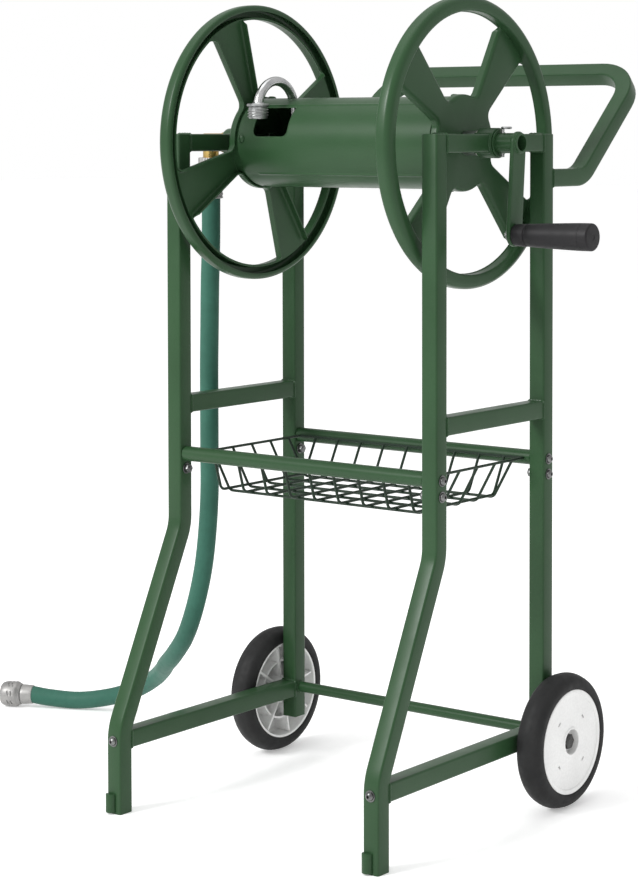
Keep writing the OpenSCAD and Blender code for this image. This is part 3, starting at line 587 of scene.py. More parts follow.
def make_rails():
    housing_bite = 15.4
    for side, sign in SIDES:
        x = MID_X + sign * LEG_X
        stubs = [hollow_tube("stub", [(x, a, AXIS.z), (x, b, AXIS.z)])
                 for a, b in ((FRONT_FACE, AXIS.y - housing_bite), (AXIS.y + housing_bite, REAR_FACE))]
        dress(joined(side + "_top_rail_tube", stubs), "green_paint", "frame", side + "_top_rail")
        for rail, start in (("_mid_rail", FRONT_FACE), ("_bottom_rail", FOOT_Y + TUBE / 2)):
            z = middle(side + rail).z
            ends = [(x, start, z), (x, REAR_FACE, z)]
            square_tube(side + rail + "_tube", ends, [], (False, False), side + rail)


def bead(loop, r):
    """A closed weld bead along a loop of points, with the ripples of its passes."""
    ripple = [1 + 0.16 * sin(i * 1.9) + 0.07 * sin(i * 0.71) for i in range(len(loop))]
    return sweep("bead", loop_path(loop), circle(r, 8), closed=True, scale=ripple)


def dense(points, step):
    """A closed loop with points no further apart than step."""
    out = []
    points = [Vector(p) for p in points]
    for a, b in zip(points, points[1:] + points[:1]):
        k = max(1, ceil((b - a).length / step))
        out += [a.lerp(b, i / k) for i in range(k)]
    return out


def make_welds():
    r, step = 1.5, 1.4
    ring = rounded_square(TUBE, TUBE_ROUND, 5)
    loops = []
    for side, sign in SIDES:
        x = MID_X + sign * LEG_X
        mid, bottom = middle(side + "_mid_rail").z, middle(side + "_bottom_rail").z
        ends = [(AXIS.z, FRONT_FACE), (AXIS.z, REAR_FACE), (mid, FRONT_FACE), (mid, REAR_FACE),
                (bottom, FOOT_Y + TUBE / 2), (bottom, REAR_FACE),
                (box("handle")[0].z + TUBE / 2, REAR_Y + TUBE / 2)]
        loops += [[(x + u, y, z + v) for u, v in ring] for z, y in ends]
        reach = asin(TUBE / 2 / HOUSING_R)
        for way in (-1, 1):
            turns = [(h, reach * (1 - k / 4) * h) for h in (-1, 1) for k in range(9)]
            loops.append([(x + h * TUBE / 2, AXIS.y + way * HOUSING_R * cos(a),
                           AXIS.z + HOUSING_R * sin(a)) for h, a in turns])
    low, high = box("lower_tie_rod")
    centre = middle("lower_tie_rod")
    rod = circle((high.z - low.z) / 2, 24)
    loops += [[(x, centre.y + u, centre.z + v) for u, v in rod] for x in (low.x, high.x)]
    dress(joined("weld_beads", [bead(dense(loop, step), r) for loop in loops]), "green_paint", "frame")


def make_bars():
    for node in ("front_tie_bar", "rear_tie_bar", "lower_tie_rod"):
        low, high = box(node)
        profile = tube_profile(0, (high.z - low.z) / 2, 0, high.x - low.x, 0.8)
        bar = lathe(node + "_round", profile, level_with(middle(node), low.x), RIGHT, 48)
        dress(bar, "green_paint", "frame", node)


def make_foot_tabs():
    low, high = box("foot_tabs")
    r = 7
    tabs = [bevelled(prism("tab", arc(0, 0, r, r, 180, 360, 16), Vector((x, high.y, low.z)), RIGHT, BACK,
                           high.z - low.z), 0.7) for x in (low.x + r, high.x - r)]
    dress(joined("foot_tabs_round", tabs), "green_paint", "frame", "foot_tabs")


def make_bearings():
    low, high = box("right_bearing_housing")
    length, r, bore, soft = high.x - low.x, HOUSING_R, 15, 0.8
    housing = [(bore, 0), (r - soft, 0), *arc(r - soft, soft, soft, soft, -90, 0, 3),
               *arc(r - soft, length - soft, soft, soft, 0, 90, 3), (bore, length)]
    low, high = box("right_bearing_bush")
    length, r, flange_r, flange, bore = high.x - low.x, bore, 17, 2, 12.26
    bush = [(bore, 0.5), (bore + 0.5, 0), (flange_r - 0.6, 0), (flange_r, 0.6), (flange_r, flange),
            (r, flange), (r, length), (bore + 0.5, length), (bore, length - 0.5)]
    for side, sign in SIDES:
        for part, profile, slot_name in (("housing", housing, "green_paint"), ("bush", bush, "nylon")):
            node = side + "_bearing_" + part
            inner = box(node)[0 if sign > 0 else 1].x
            made = lathe(f"{side}_{part}_round", profile, level_with(AXIS, inner), RIGHT * sign)
            dress(made, slot_name, "frame", node)


# ---- Bolts and nuts ----

WASHER_H = 1.2


def washer(face, out):
    return lathe("washer", tube_profile(0, 6.75, 0, WASHER_H, 0.25), face, out, 32)


def bolt_head(face, out):
    """A washer and a domed head with a hexagon socket, standing on a face point."""
    head_r, head_h, depth = 5.25, 4, 2.4
    dome = [(0, 0), (head_r * 0.96, 0), (head_r, 0.12 * head_h)]
    for a in (15, 30, 45, 60):
        a = radians(a)
        dome.append((head_r * cos(a) ** 0.8, head_h * (0.12 + 0.88 * sin(a))))
    dome += [(head_r * 0.42, head_h), (0, head_h)]
    seat = face + out * WASHER_H
    head = lathe("head", dome, seat, out, 32)
    socket = prism("socket", circle(2.1, 6), seat + out * (head_h - depth), *basis(out), depth * 2)
    return joined("bolt", [washer(face, out), cut(head, socket)])


def hex_nut(name, face, out, across, height, end_r, end):
    """A chamfered hexagon nut on a face point, with the bolt's end standing out of it."""
    hexagon = circle(across / 2 / cos(radians(30)), 6, 30)
    nut = bevelled(prism("nut", hexagon, face, *basis(out), height), 0.5, 2, 50)
    top, soft = height + end, 0.6
    profile = [(0, 0), (end_r, 0), (end_r, top - soft), (end_r - soft, top), (0, top)]
    return joined(name, [nut, lathe("end", profile, face, out, 24)])


def make_frame_bolts():
    ties, legs, nuts, feet = [], [], [], []
    tie_z, second_z = middle("front_tie_bar").z, middle("leg_nuts").z
    for side, sign in SIDES:
        out = RIGHT * sign
        face, inner_face = MID_X + sign * OUTER_X, MID_X + sign * INNER_X
        for y in (FRONT_Y, REAR_Y):
            ties.append(bolt_head(Vector((face, y, tie_z)), out))
            legs.append(bolt_head(Vector((face, y, second_z)), out))
            inner = Vector((inner_face, y, second_z))
            nuts += [washer(inner, -out), hex_nut("nut", inner - out * WASHER_H, -out, 10, 5, 3, 0.6)]
        foot = Vector((MID_X + sign * LEG_X, FOOT_Y - TUBE / 2, middle(side + "_bottom_rail").z))
        feet.append(bolt_head(foot, -BACK))
    for name, made, node in (("tie_bolt_heads", ties, "tie_bolts"), ("leg_bolt_heads", legs, "leg_bolts"),
                             ("leg_bolt_nuts", nuts, "leg_nuts"), ("foot_bolt_heads", feet, "foot_bolts")):
        dress(joined(name, made), "zinc", "frame", node, look=FIXING)


# ---- Wire basket ----

def make_basket():
    wire_r, tie_r = 1.8, 9.4
    top = middle("front_tie_bar").z
    floor = top - 46
    cross_floor = floor - wire_r * 1.6
    front, rear = FRONT_Y + tie_r + wire_r, REAR_Y - tie_r - wire_r
    floor_front, floor_rear = front + 14, rear - 24
    left, right, floor_left, floor_right = (MID_X + x for x in (-180, 180, -152, 152))
    rim = [(left, front, top), (left, rear, top), (right, rear, top), (right, front, top)]
    lines = [(pair, UP) for pair in zip(rim, rim[1:] + rim[:1])]
    across, along, pitch = 9, 5, 38
    for i in range(across):
        x = MID_X + pitch * (i - (across - 1) / 2)
        wire = [(x, front, top), (x, floor_front, floor), (x, floor_rear, floor), (x, rear, top)]
        lines.append((wire, RIGHT))
    for i in range(along):
        y = floor_rear - pitch * i
        wire = [(left, y, top), (floor_left, y, cross_floor), (floor_right, y, cross_floor), (right, y, top)]
        lines.append((wire, BACK))
    wires = [sweep("wire", rounded_path(points, [9] * (len(points) - 2), 5), circle(wire_r, 10), hint)
             for points, hint in lines]
    dress(joined("wire_basket_round", wires), "basket_paint", "frame", "wire_basket")


# ---- Reel discs ----

PLATE = 164.2
SHEET = 2
HUB_R = 58.4
DISC_R = middle("left_disc").z - box("left_disc")[0].z
RIM_X = 168.8
RIM_W = 20
RIM_DEPTH = 18
SPOKE_ANGLE = {"left": 24, "right": 51}


def sheet_section(line, t):
    """The closed outline of a sheet of thickness t that follows an open line."""
    p = [Vector(q) for q in line]
    left, right = [], []
    for i, q in enumerate(p):
        ahead = (p[min(i + 1, len(p) - 1)] - p[max(i - 1, 0)]).normalized()
        offset = Vector((-ahead.y, ahead.x)) * t / 2
        left.append(tuple(q + offset))
        right.append(tuple(q - offset))
    return left + right[::-1]


def make_rim(sign):
    """The rolled rim: a channel open towards the drum."""
    outer, inner = DISC_R - SHEET / 2, DISC_R - RIM_DEPTH + SHEET / 2
    face, back = RIM_X + (RIM_W - SHEET) / 2, RIM_X - (RIM_W - SHEET) / 2
    roll, back_roll, lip = 7.5, 4, 2.6
    line = [(inner, PLATE - 0.8), (inner, face - lip - 4)]
    line += arc(inner + lip, face - lip, lip, lip, 180, 90, 5)
    line += arc(outer - roll, face - roll, roll, roll, 90, 0, 9)
    line += arc(outer - back_roll, back + back_roll, back_roll, back_roll, 0, -120, 9)
    return lathe("rim", sheet_section(line, SHEET), AXIS, RIGHT * sign, 168)


def spoke_window(angle, points=10, steps=8):
    """One window between two spokes as [(point, fold)], where fold is 1 on the spokes and 0 at the rim."""
    root_r, tip_r, root_w, tip_w = 49.4, 161.7, 13, 31.5
    hub_cut, rim_cut = 11, 5
    outer_r = DISC_R - RIM_DEPTH + 0.2
    near, far = HUB_R + hub_cut, outer_r - rim_cut
    first, last = radians(angle), radians(angle + 90)

    def edge(r):
        """Polar angle at which a spoke's edge crosses radius r, from the spoke's own line."""
        low, high = 0.0, pi / 3
        for _ in range(40):
            a = (low + high) / 2
            wide = root_w + (tip_w - root_w) * (r * cos(a) - root_r) / (tip_r - root_r)
            low, high = (a, high) if r * sin(a) < wide else (low, a)
        return low

    def polar(r, a):
        return Vector((r * cos(a), r * sin(a)))

    def first_side(r):
        return polar(r, first + edge(r))

    def last_side(r):
        return polar(r, last - edge(r))

    def evenly(a, b, parts):
        return [a + (b - a) * k / parts for k in range(parts + 1)]

    def corner(before, tip, after):
        return [before * (1 - t) ** 2 + tip * 2 * t * (1 - t) + after * t ** 2 for t in evenly(0, 1, steps)]

    hub_in, rim_in = edge(HUB_R) + hub_cut / HUB_R, edge(outer_r) + rim_cut / outer_r
    hub = [polar(HUB_R, a) for a in evenly(last - hub_in, first + hub_in, points)]
    rim = [polar(outer_r, a) for a in evenly(first + rim_in, last - rim_in, 2 * points)]
    out = [(q, 1.0) for q in hub + corner(hub[-1], first_side(HUB_R), first_side(near))[1:]]
    out += [(first_side(r), 1.0) for r in evenly(near, far, points)[1:-1]]
    out += [(q, 1 - k / steps) for k, q in enumerate(corner(first_side(far), first_side(outer_r), rim[0]))]
    out += [(q, 0.0) for q in rim[1:-1]]
    out += [(q, k / steps) for k, q in enumerate(corner(rim[-1], last_side(outer_r), last_side(far)))]
    out += [(last_side(r), 1.0) for r in evenly(far, near, points)[1:-1]]
    out += [(q, 1.0) for q in corner(last_side(near), last_side(HUB_R), hub[0])[:-1]]
    return out


def make_spider(side, sign):
    """The pressed sheet of the disc: four windows with edges folded towards the drum."""
    bend_r, rim_bend_r, bend_steps = 4, 0.3, 5
    fold_deep, rim_fold_deep = 10, 0.6
    bm = bmesh.new()
    flat_edges = []

    def vert(p, depth):
        return bm.verts.new((AXIS + Vector((sign * (PLATE - depth), p.x, p.y))) * MM)

    for r, steps in ((DISC_R - RIM_DEPTH + 1.2, 160), (12.4, 48)):
        ring = [vert(Vector(q), 0) for q in circle(r, steps)]
        flat_edges += [bm.edges.new((a, b)) for a, b in zip(ring, ring[1:] + ring[:1])]
    for k in range(4):
        window = spoke_window(SPOKE_ANGLE[side] + 90 * k)
        n = len(window)
        rings = []
        for step in range(bend_steps + 2):
            turn = pi / 2 * min(step, bend_steps) / bend_steps
            ring = []
            for i, (p, fold) in enumerate(window):
                ahead = (window[(i + 1) % n][0] - window[i - 1][0]).normalized()
                r = rim_bend_r + (bend_r - rim_bend_r) * fold
                depth = r * (1 - cos(turn))
                if step > bend_steps:
                    depth = rim_fold_deep + (fold_deep - rim_fold_deep) * fold
                ring.append(vert(p + Vector((ahead.y, -ahead.x)) * r * (1 - sin(turn)), depth))
            rings.append(ring)
        verts = sum(rings, [])
        for face in quads(len(rings), n):
            bm.faces.new([verts[i] for i in face])
        flat_edges += [bm.edges.get((a, b)) for a, b in zip(rings[0], rings[0][1:] + rings[0][:1])]
    bmesh.ops.triangle_fill(bm, edges=flat_edges, use_beauty=True, use_dissolve=False)
    bmesh.ops.recalc_face_normals(bm, faces=bm.faces)
    mesh = bpy.data.meshes.new("spider")
    bm.to_mesh(mesh)
    bm.free()
    obj = link("spider", mesh)
    mod = obj.modifiers.new("sheet", "SOLIDIFY")
    mod.thickness = SHEET * MM
    mod.offset = 0
    mod.use_even_offset = True
    return apply_modifiers(obj, 50)


def make_discs():
    bore, boss_r, collar_r, collar_in = 12.3, 21.6, 55.2, 138
    collar_line = tube_profile(collar_r - 1.6, collar_r, collar_in, PLATE, 0)
    boss_line = [(bore, PLATE + 0.8), (boss_r - 1.6, PLATE + 0.8), (boss_r, PLATE + 0.4), (boss_r, PLATE - 1),
                 (bore, PLATE - 1)]
    for side, sign in SIDES:
        collar = lathe("collar", collar_line, AXIS, RIGHT * sign, 96)
        boss = lathe("boss", boss_line, AXIS, RIGHT * sign)
        disc = joined(side + "_disc_pressing", [make_rim(sign), make_spider(side, sign), collar, boss])
        dress(disc, "green_paint", "reel", side + "_disc")


# ---- Drum ----

DRUM_R = 57
DRUM_HALF = 151
DRUM_WALL = 1.6
RIDGE_END = DRUM_HALF - 20
SEAMS = (56, 124, 224, 316)
SCREW_ANGLES = (85, 175, 265, 355)
WINDOW = (-127, -70, 7, 44)
WINDOW_CORNER = 9
PIPE_X = middle("outlet_fitting").x - MID_X


def ridge(angle, x):
    """How far the drum's skin stands out at one of its pressed ridges."""
    wide, high, fade = 1.9, 1.1, 5
    along = min(1, max(0, (RIDGE_END - abs(x)) / fade))
    off = min(abs((angle - seam + 180) % 360 - 180) for seam in SEAMS) / 180 * pi * DRUM_R
    return high * exp(-(off / wide) ** 2 * 1.6) * (3 * along ** 2 - 2 * along ** 3)


def drum_point(x, angle, r):
    return AXIS + RIGHT * x + radial(angle) * r


def window_line(steps=8):
    """The window's edge on the drum's skin as [(x, height)], from its upper left round to its upper right."""
    x0, x1, z0, z1 = WINDOW
    c = WINDOW_CORNER
    high, wide = z1 - z0 - c, x1 - x0 - 2 * c
    line = [(x0, z1 - k * high / steps) for k in range(steps)]
    line += arc(x0 + c, z0 + c, c, c, 180, 270, 8)
    line += [(x0 + c + k * wide / steps, z0) for k in range(1, steps)]
    line += arc(x1 - c, z0 + c, c, c, 270, 360, 8)
    line += [(x1, z0 + c + k * high / steps) for k in range(1, steps + 1)]
    return line


def make_drum():
    near_seams = [round((s + d * 0.6) % 360, 2) for s in SEAMS for d in range(-7, 8)]
    angles = sorted({k * 3.0 for k in range(120)}.union(near_seams))
    xs = [-DRUM_HALF, 0.4 - DRUM_HALF, -RIDGE_END, 1.5 - RIDGE_END, 3 - RIDGE_END, 5 - RIDGE_END]
    xs += [0] + [-x for x in xs[::-1]]
    verts = []
    for x in xs:
        chamfer = 0.4 if abs(x) == DRUM_HALF else 0
        verts += [drum_point(x, a, DRUM_R - chamfer + ridge(a, x)) for a in angles]
    for x in (DRUM_HALF, -DRUM_HALF):
        verts += [drum_point(x, a, DRUM_R - DRUM_WALL) for a in angles]
    shell = new_object("drum_shell_skin", verts, quads(len(xs) + 2, len(angles), True), 40)
    shell = cut(shell, lathe("hole", pin_profile(10, 0, 80), AXIS + RIGHT * PIPE_X, UP, 48), 40)
    shell = cut(shell, prism("window", window_line(), AXIS - BACK * 10, RIGHT, UP, 60), 40)
    edge = [AXIS + Vector((x, -sqrt((DRUM_R - 0.3) ** 2 - z * z), z)) for x, z in window_line(6)]
    hem = sweep("hem", smooth_path(edge, 2), circle(0.95, 8), hint=BACK)
    dress(joined("drum_skin", [shell, hem]), "green_paint", "reel", "drum_shell")


def make_drum_screws():
    r, seat, height = 5.5, 4, 3
    profile = [(0, 0), (2.5, 0), (2.5, seat), (r, seat), (r, seat + 0.5)]
    for t in (15, 30, 45, 60, 75):
        t = radians(t)
        profile.append((r * cos(t) ** 0.7, seat + 0.5 + (height - 0.5) * sin(t)))
    profile.append((0, seat + height))
    heads = []
    for x in (6 - DRUM_HALF, DRUM_HALF - 6):
        for angle in SCREW_ANGLES:
            out = radial(angle)
            base = drum_point(x, angle, DRUM_R - seat)
            across = RIGHT * 0.35 + radial(angle + 90)
            slot = block("slot", (9, 1.5, 2.6), base + out * (seat + height), across, out, 0.05, 1)
            heads.append(cut(lathe("screw", profile, base, out, 32), slot))
    dress(joined("drum_screw_heads", heads), "green_paint", "reel", "drum_screws")


# ---- Water way ----

def helix(name, profile, origin, axis, pitch, turns, steps=48):
    """A thread: an outline carried round and along an axis, fading out at both ends."""
    root = min(r for r, h in profile)
    total = int(steps * turns)
    verts = []
    for k in range(total + 1):
        d = spoke(axis, k / steps)
        fade = min(1, k / (steps / 3), (total - k) / (steps / 3))
        start = origin + axis * pitch * k / steps
        verts += [start + d * (root + (r - root) * fade) + axis * h for r, h in profile]
    n = len(profile)
    return new_object(name, verts, quads(total + 1, n) + lids(total + 1, n), 30)


def make_gooseneck():
    bend, pipe_r, x = 36, 6, MID_X + PIPE_X
    front, rise = AXIS.y - 2 * bend, AXIS.z + 78
    low, high = box("outlet_fitting")
    points = [(AXIS.x - 175, AXIS.y, AXIS.z), (x, AXIS.y, AXIS.z), (x, AXIS.y, rise), (x, front, rise),
              (x, front, high.z - 6)]
    path = rounded_path(points, [24, bend * 0.999, bend * 0.999], 20)
    dress(sweep("gooseneck", path, circle(pipe_r, 32), hint=BACK), "chrome_pipe", "reel", "water_pipe")
    top = high.z - low.z
    body_r, bore, flange_r = 11.7, 8.5, 14.1
    profile = [(bore, 0.8), (bore + 0.8, 0), (body_r - 0.6, 0), (body_r, 0.6), (body_r, top - 4.8),
               (body_r - 0.5, top - 4.2), (flange_r - 0.7, top - 3.6), (flange_r, top - 2.9),
               (flange_r, top - 0.9), (flange_r - 0.8, top), (pipe_r + 2, top), (pipe_r + 1, top + 1.4),
               (pipe_r, top + 1.8), (pipe_r, top - 6), (bore, top - 8)]
    start = Vector((x, front, low.z))
    body = lathe("body", profile, start, UP)
    tooth = [(body_r - 0.3, 0), (body_r - 0.3, 2.4), (13.2, 1.55), (13.3, 1.2), (13.2, 0.85)]
    thread = helix("thread", tooth, start + UP * 0.6, UP, 3.4, 3.4)
    dress(joined("outlet_thread_fitting", [body, thread]), "zinc", "reel", "outlet_fitting")


def make_swivel():
    """The brass elbow that the hose hangs from."""
    low, high = box("inlet_swivel")
    r, length, soft = 12, high.x - low.x, 1.2
    profile = [(0, 0), (r - 3, 0), *arc(r - soft - 1, soft + 0.6, soft, soft, -90, -20, 4),
               (r, 4), (r, length - 6), (r + 1.6, length - 5), (r + 1.6, length - 0.8),
               (r + 0.8, length), (7.6, length), (7.6, length - 2), (0, length - 2)]
    body = lathe("body", profile, level_with(AXIS, low.x), RIGHT)
    drop, neck_r, mouth_r = AXIS.z - box("hose_top_coupling")[1].z, 13, 10.5
    profile = [(0, drop + 12), (neck_r, drop + 12), (neck_r, drop + 1), (neck_r - 0.8, drop),
               (mouth_r, drop - 0.6), (mouth_r, 6), (0, 2)]
    neck = lathe("neck", profile, level_with(AXIS, HOSE_TOP.x), -UP, 56)
    dress(joined("swivel_elbow", [body, neck]), "brass", "frame", "inlet_swivel")


def make_top_coupling():
    low, high = box("hose_top_coupling")
    nut_length, bore, r, dip = 22, HOSE_D / 2, 15.8, 0.7
    length = high.z - low.z - nut_length
    profile = [(bore, 0.2), (r - 0.9, 0), (r, 0.9)]
    for z in (3.5, 8.5, 13.5, 18.5):
        profile += [(r, z - 1.3), (r - dip, z - 0.6), (r - dip, z + 0.6), (r, z + 1.3)]
    profile += [(r, length - 2.5), (14, length - 1), (11, length), (bore - 2, length), (bore - 2, 0.2)]
    ferrule = lathe("ferrule", profile, HOSE_TOP, UP)
    nut = grooved_nut("nut", HOSE_TOP + UP * length, UP, 16.8, nut_length, 26)
    dress(joined("top_hose_coupling", [ferrule, nut]), "hose_fitting", "frame", "hose_top_coupling")


def grooved_nut(name, start, axis, r, length, ribs):
    """A coupling nut with shallow grip grooves round it."""
    steps, soft, bore = ribs * 6, 1.2, r * 0.72
    half_soft = soft * 0.3
    # Each point has its share of a groove's depth: all of it on the side, less on the rounded edges.
    profile = [(bore, 0, 0), (r - soft, 0, 0.4), (r - half_soft, half_soft, 0.4), (r, soft, 1),
               (r, length - soft, 1), (r - half_soft, length - half_soft, 0.4), (r - soft, length, 0.4),
               (bore, length, 0)]
    verts = []
    for k in range(steps):
        d = spoke(axis, k / steps)
        dip = 0.55 * max(0, cos(ribs * 2 * pi * k / steps)) ** 3
        verts += [start + d * (pr - dip * share) + axis * h for pr, h, share in profile]
    return new_object(name, verts, quads(steps, len(profile), True), 30)


def make_hose_end():
    """The crimped ferrule and the flared female coupling on the hose's loose end."""
    start, axis = HOSE_POINTS[-1], HOSE_END_DIR
    bore, r, skirt, tail = 7, 14.2, 17, 29
    profile = [(bore, 0), (r - 1.6, 0), (r - 0.9, 0.5), (r - 0.7, 1.4), (r - 0.5, 6), (r - 0.1, 11),
               (r, 15.5), (r - 0.3, skirt - 0.4), (r - 0.9, skirt), (10, skirt), (10, tail - 3),
               (11.5, tail - 3), (11.5, tail), (bore, tail)]
    ferrule = lathe("hose_end_crimp", profile, start, axis, 56)
    dress(ferrule, "hose_fitting", "frame", "hose_end_ferrule")
    base = start + axis * 17.4
    length, bore, flare, out, thread_r, seat_r, seat = 30, 10.07, 15.2, 18.2, 13.45, 11.9, 8.2
    profile = [(bore, 0), (13.6, 0), (14.6, 0.5), (flare, 1.4), (flare + 1.1, 4.2), (out - 0.6, 5.6),
               (out, 7.5), *arc(out - 4.2, 17, 4.2, length - 17, 0, 90, 10), (thread_r, length - 0.5),
               (thread_r, 12.1), (seat_r, 12.1), (seat_r, seat), (bore, seat)]
    shell = lathe("end_coupling_nut", profile, base, axis, 72)
    for k in range(8):
        d = spoke(axis, (k + 0.3) / 8)
        for along in (11.4, 16.6):
            place, slant = base + axis * along + d * out, axis.cross(d) + axis * 0.35
            shell = cut(shell, block("notch", (8, 2.4, 3), place, slant, d, 0.5))
    dress(shell, "hose_fitting", "hose_nut", "hose_end_coupling")


# ---- Shafts and crank ----

SHAFT_R = 12.2


def make_shafts():
    def turned(name, bore, r, a, b, soft, out=RIGHT, steps=64):
        return lathe(name, tube_profile(bore, r, a, b, soft), AXIS, out, steps)

    shaft = turned("crank_shaft_tube", 9.5, SHAFT_R, 140, box("crank_shaft")[1].x - MID_X, 0.7)
    dress(shaft, "green_paint", "reel", "crank_shaft")
    shaft = turned("inlet_shaft_tube", 7.5, SHAFT_R, 140, MID_X - box("inlet_shaft")[0].x, 0.7, -RIGHT)
    dress(shaft, "zinc", "reel", "inlet_shaft")
    spacers = [turned("spacer", SHAFT_R, 15, 165.4, 186.4, 0.6, RIGHT * sign, 56) for side, sign in SIDES]
    dress(joined("shaft_spacer_tubes", spacers), "zinc", "reel", "shaft_spacers")
    low, high = box("shaft_washer")
    washer = turned("shaft_washer_ring", SHAFT_R, 16.5, low.x - MID_X, high.x - MID_X, 0.4, RIGHT, 56)
    dress(washer, "green_paint", "reel", "shaft_washer")
    pin_x, pin_r, pin_half = 219, 2, 17
    profile = [(0, 0), (pin_r - 0.6, 0), (pin_r, 0.6), (pin_r, 2 * pin_half), (0, 2 * pin_half + 0.4)]
    pin = lathe("pin", profile, AXIS + RIGHT * pin_x - UP * pin_half, UP, 24)
    ring_r = 5.2
    centre = AXIS + RIGHT * (pin_x + ring_r) + UP * (pin_half + 1.3)
    loop = [centre + RIGHT * u + BACK * v for u, v in circle(ring_r, 28)]
    ring = sweep("ring", loop_path(loop), circle(1.5, 12), closed=True)
    dress(joined("hitch_pin_and_ring", [pin, ring]), "zinc", "reel", "hitch_pin")


def make_crank_arm():
    low, high = box("crank_arm")
    half = 14
    up = (AXIS - GRIP_AXIS).normalized()
    reach = (AXIS - GRIP_AXIS).length
    outline = arc(0, 0, half, half, 0, 180, 24) + arc(0, -reach, half, half, 180, 360, 24)
    arm = prism("arm", outline, level_with(AXIS, low.x), up.cross(RIGHT), up, high.x - low.x)
    hole = lathe("hole", pin_profile(SHAFT_R - 0.1, -10, 20), level_with(AXIS, low.x), RIGHT)
    arm = cut(bevelled(arm, 1.3, 3, 50), hole)
    beads = []
    for x, r in ((low.x, 0.9), (high.x, 1.1)):
        loop = [level_with(AXIS, x) + BACK * u + UP * v for u, v in circle(SHAFT_R, 32)]
        beads.append(bead(dense(loop, 1.2), r))
    dress(joined("crank_arm_bar", [arm, *beads]), "green_paint", "reel", "crank_arm")


def make_grip_stud():
    low, high = box("grip_nut")
    seat = level_with(GRIP_AXIS, high.x)
    nut = hex_nut("grip_lock_nut", seat, -RIGHT, 13, high.x - low.x, 4, 2.5)
    dress(nut, "zinc", "reel", "grip_nut")
    end, head_h = box("grip_stud")[1].x - high.x, 5
    profile = [(0, 0), (4, 0), (4, end - head_h), (6.5, end - head_h), (6.5, end), (0, end)]
    dress(lathe("grip_stud_round", profile, seat, RIGHT, 32), "zinc", "reel", "grip_stud")


def make_grip():
    start = box("crank_grip")[0].x
    cap_low, cap_high = box("grip_cap")
    length = cap_low.x - start
    bore, neck, groove, waist, r = 4.07, 13.2, 12.5, 13.8, 16.5
    cavity_r, cavity = 7.2, 85.8
    profile = [(bore, 0), (neck - 1.2, 0), (neck - 0.35, 0.35), (neck, 1.2), (13.65, 16.4), (13.3, 17),
               (groove, 17.4), (groove, 18.9), (13.4, 19.3), (waist, 20)]
    for k in range(1, 13):
        t = k / 12
        profile.append((waist + (r - waist) * (1 - (1 - t) ** 1.25), 20 + (length - 20) * t))
    profile += [(cavity_r, length), (cavity_r, cavity), (bore, cavity)]
    grip = lathe("crank_grip_body", profile, level_with(GRIP_AXIS, start), RIGHT, 72)
    dress(grip, "black_plastic", "grip", "crank_grip")
    cap, edge = cap_high.x - cap_low.x, 2.4
    profile = [(0, -6), (7, -6), (7, 0), (r - 0.3, 0), (r, 0.3),
               *arc(r - edge, cap - edge, edge, edge, 0, 90, 6), (4, cap), (3.4, cap - 0.5), (0, cap - 0.6)]
    end = lathe("crank_grip_cap", profile, level_with(GRIP_AXIS, cap_low.x), RIGHT, 72)
    dress(end, "black_plastic", "grip", "grip_cap")


# ---- Wheels ----

WHEEL_BUSH_R = 8
HUB_IN = 213
HUB_OUT = 236


def make_tyre(side, out, inner, face, r):
    """The tyre, from its inner side at inner to its outer side at face, both measured from the middle."""
    bead_r, shoulder, crown = 65.2, 11.5, 1.6
    profile = [(bead_r - 0.2, inner + 1.2), (bead_r + 0.8, inner + 0.4), (bead_r + 3, inner + 0.1)]
    profile += arc(r - crown - shoulder, inner + shoulder, shoulder, shoulder, -90, -12, 8)
    profile += [(r - crown * t * t * 0.8, (inner + face) / 2 + t * ((face - inner) / 2 - shoulder + 1))
                for t in (-0.8, -0.5, -0.25, 0, 0.25, 0.5, 0.8)]
    profile += arc(r - crown - shoulder, face - shoulder, shoulder, shoulder, 12, 90, 8)
    profile += [(bead_r + 3, face - 0.1), (bead_r + 0.8, face - 0.4), (bead_r - 0.2, face - 1.2)]
    tyre = lathe(side + "_tyre_round", profile, WHEEL_AXIS, out, 144)
    dress(tyre, "tyre", side + "_wheel", side + "_tyre")


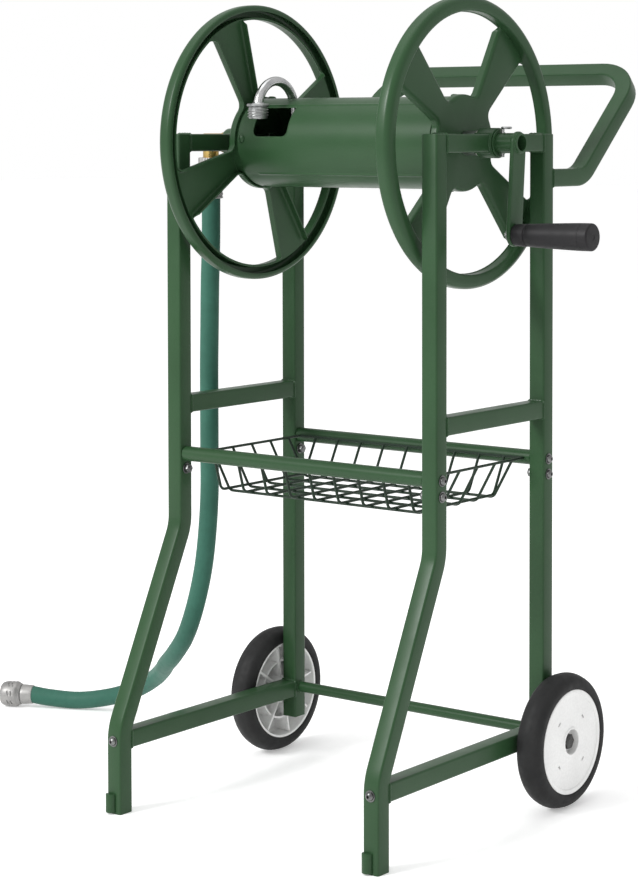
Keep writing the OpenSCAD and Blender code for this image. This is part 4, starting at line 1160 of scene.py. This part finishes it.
def make_wheel_rim(side, out, inner, face):
    """The white moulding: hub, web, lip, ribs and a ring on its inner side, and four slots."""
    rim_r, hub_r, recess_r, bore = 65.1, 19, 15.5, WHEEL_BUSH_R
    front = face - 0.8
    web = front - 1.4
    back = web - 3.4
    profile = [(bore, HUB_OUT), (recess_r - 0.6, HUB_OUT), (recess_r, HUB_OUT + 0.6), (recess_r, front - 0.6),
               (recess_r + 0.5, front), (17.6, front), (18.4, front - 0.8), (hub_r, web), (57.6, web),
               (58.6, web + 0.3), (59.4, front + 0.2), (60.4, front + 0.6), (63.6, front + 0.6),
               (64.7, front + 0.1), (rim_r, front - 1.2), (rim_r, inner + 2), (64.4, inner + 1),
               (62.6, inner + 1), (61.7, inner + 2), (61.2, back - 3), (59, back), (hub_r + 2, back),
               (hub_r, back - 2), (hub_r - 0.4, HUB_IN + 0.8), (hub_r - 1.2, HUB_IN), (bore + 0.6, HUB_IN),
               (bore, HUB_IN + 0.6)]
    rim = lathe("rim", profile, WHEEL_AXIS, out, 144)
    rib_in, rib_out, deep = 17, 61.4, back - inner - 4
    parts = []
    for k in range(8):
        d = radial(45 * k + degrees(0.2))
        centre = WHEEL_AXIS + d * (rib_in + rib_out) / 2 + out * (back - deep / 2 + 0.5)
        parts.append(block("rib", (rib_out - rib_in, 3, deep), centre, d, out, 0.8))
    parts.append(lathe("ring", tube_profile(37.5, 40, inner + 8, back + 0.5, 0), WHEEL_AXIS, out, 96))
    for k in range(4):
        d = radial(45 + 90 * k)
        rim = cut(rim, block("slit", (2.8, 6.5, 8), WHEEL_AXIS + d * 38 + out * (web - 1), d, out, 1, 3))
    dress(joined(side + "_rim_moulding", [rim, *parts]), "white_plastic", side + "_wheel", side + "_rim")


def make_wheels():
    for side, sign in SIDES:
        out = RIGHT * sign
        low, high = box(side + "_tyre")
        inner, face = sorted((abs(low.x - MID_X), abs(high.x - MID_X)))
        make_tyre(side, out, inner, face, (high.z - low.z) / 2)
        make_wheel_rim(side, out, inner, face)
        profile = tube_profile(5.07, WHEEL_BUSH_R, HUB_IN, HUB_OUT, 0.4)
        bush = lathe(side + "_bush_tube", profile, WHEEL_AXIS, out, 40)
        dress(bush, "nylon", side + "_wheel", side + "_wheel_bush")


def make_axles():
    bolts, washers = [], []
    bolt_r, seat = 5, 237.6
    for side, sign in SIDES:
        out = RIGHT * sign
        bolts.append(lathe("shank", pin_profile(bolt_r, LEG_X - 5, seat), WHEEL_AXIS, out, 32))
        bolts.append(hex_nut("head", WHEEL_AXIS + out * seat, out, 17, 6.4, 4.4, 0.5))
        for a, b, r in ((OUTER_X, OUTER_X + 1.6, 12), (HUB_OUT + 0.1, seat, 10)):
            washers.append(lathe("washer", tube_profile(bolt_r, r, a, b, 0.3), WHEEL_AXIS, out, 40))
    # The darker zinc copy is painted shade of the hub recesses.
    dress(joined("axle_bolt_heads", bolts), "zinc", "frame", "axle_bolts", look=RECESS_SHADE_FIXING)
    dress(joined("axle_washer_rings", washers), "zinc", "frame", "axle_washers", look=RECESS_SHADE_FIXING)


# ---- The whole cart ----

make_camera()
make_studio()
hose, hose_path = make_hose()
for make in (make_legs, make_handle, make_rails, make_welds, make_bars, make_foot_tabs, make_bearings,
             make_frame_bolts, make_basket, make_discs, make_drum, make_drum_screws, make_gooseneck,
             make_swivel, make_top_coupling, make_hose_end, make_shafts, make_crank_arm, make_grip_stud,
             make_grip, make_wheels, make_axles):
    make()
for row in frame["record"]["subparts"]:
    node = bpy.data.objects.get(row["node"])
    if node:
        node.data.materials.clear()
        node.data.materials.append(SLOT_LOOKS[row["material_slot"]])
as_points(hose_path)
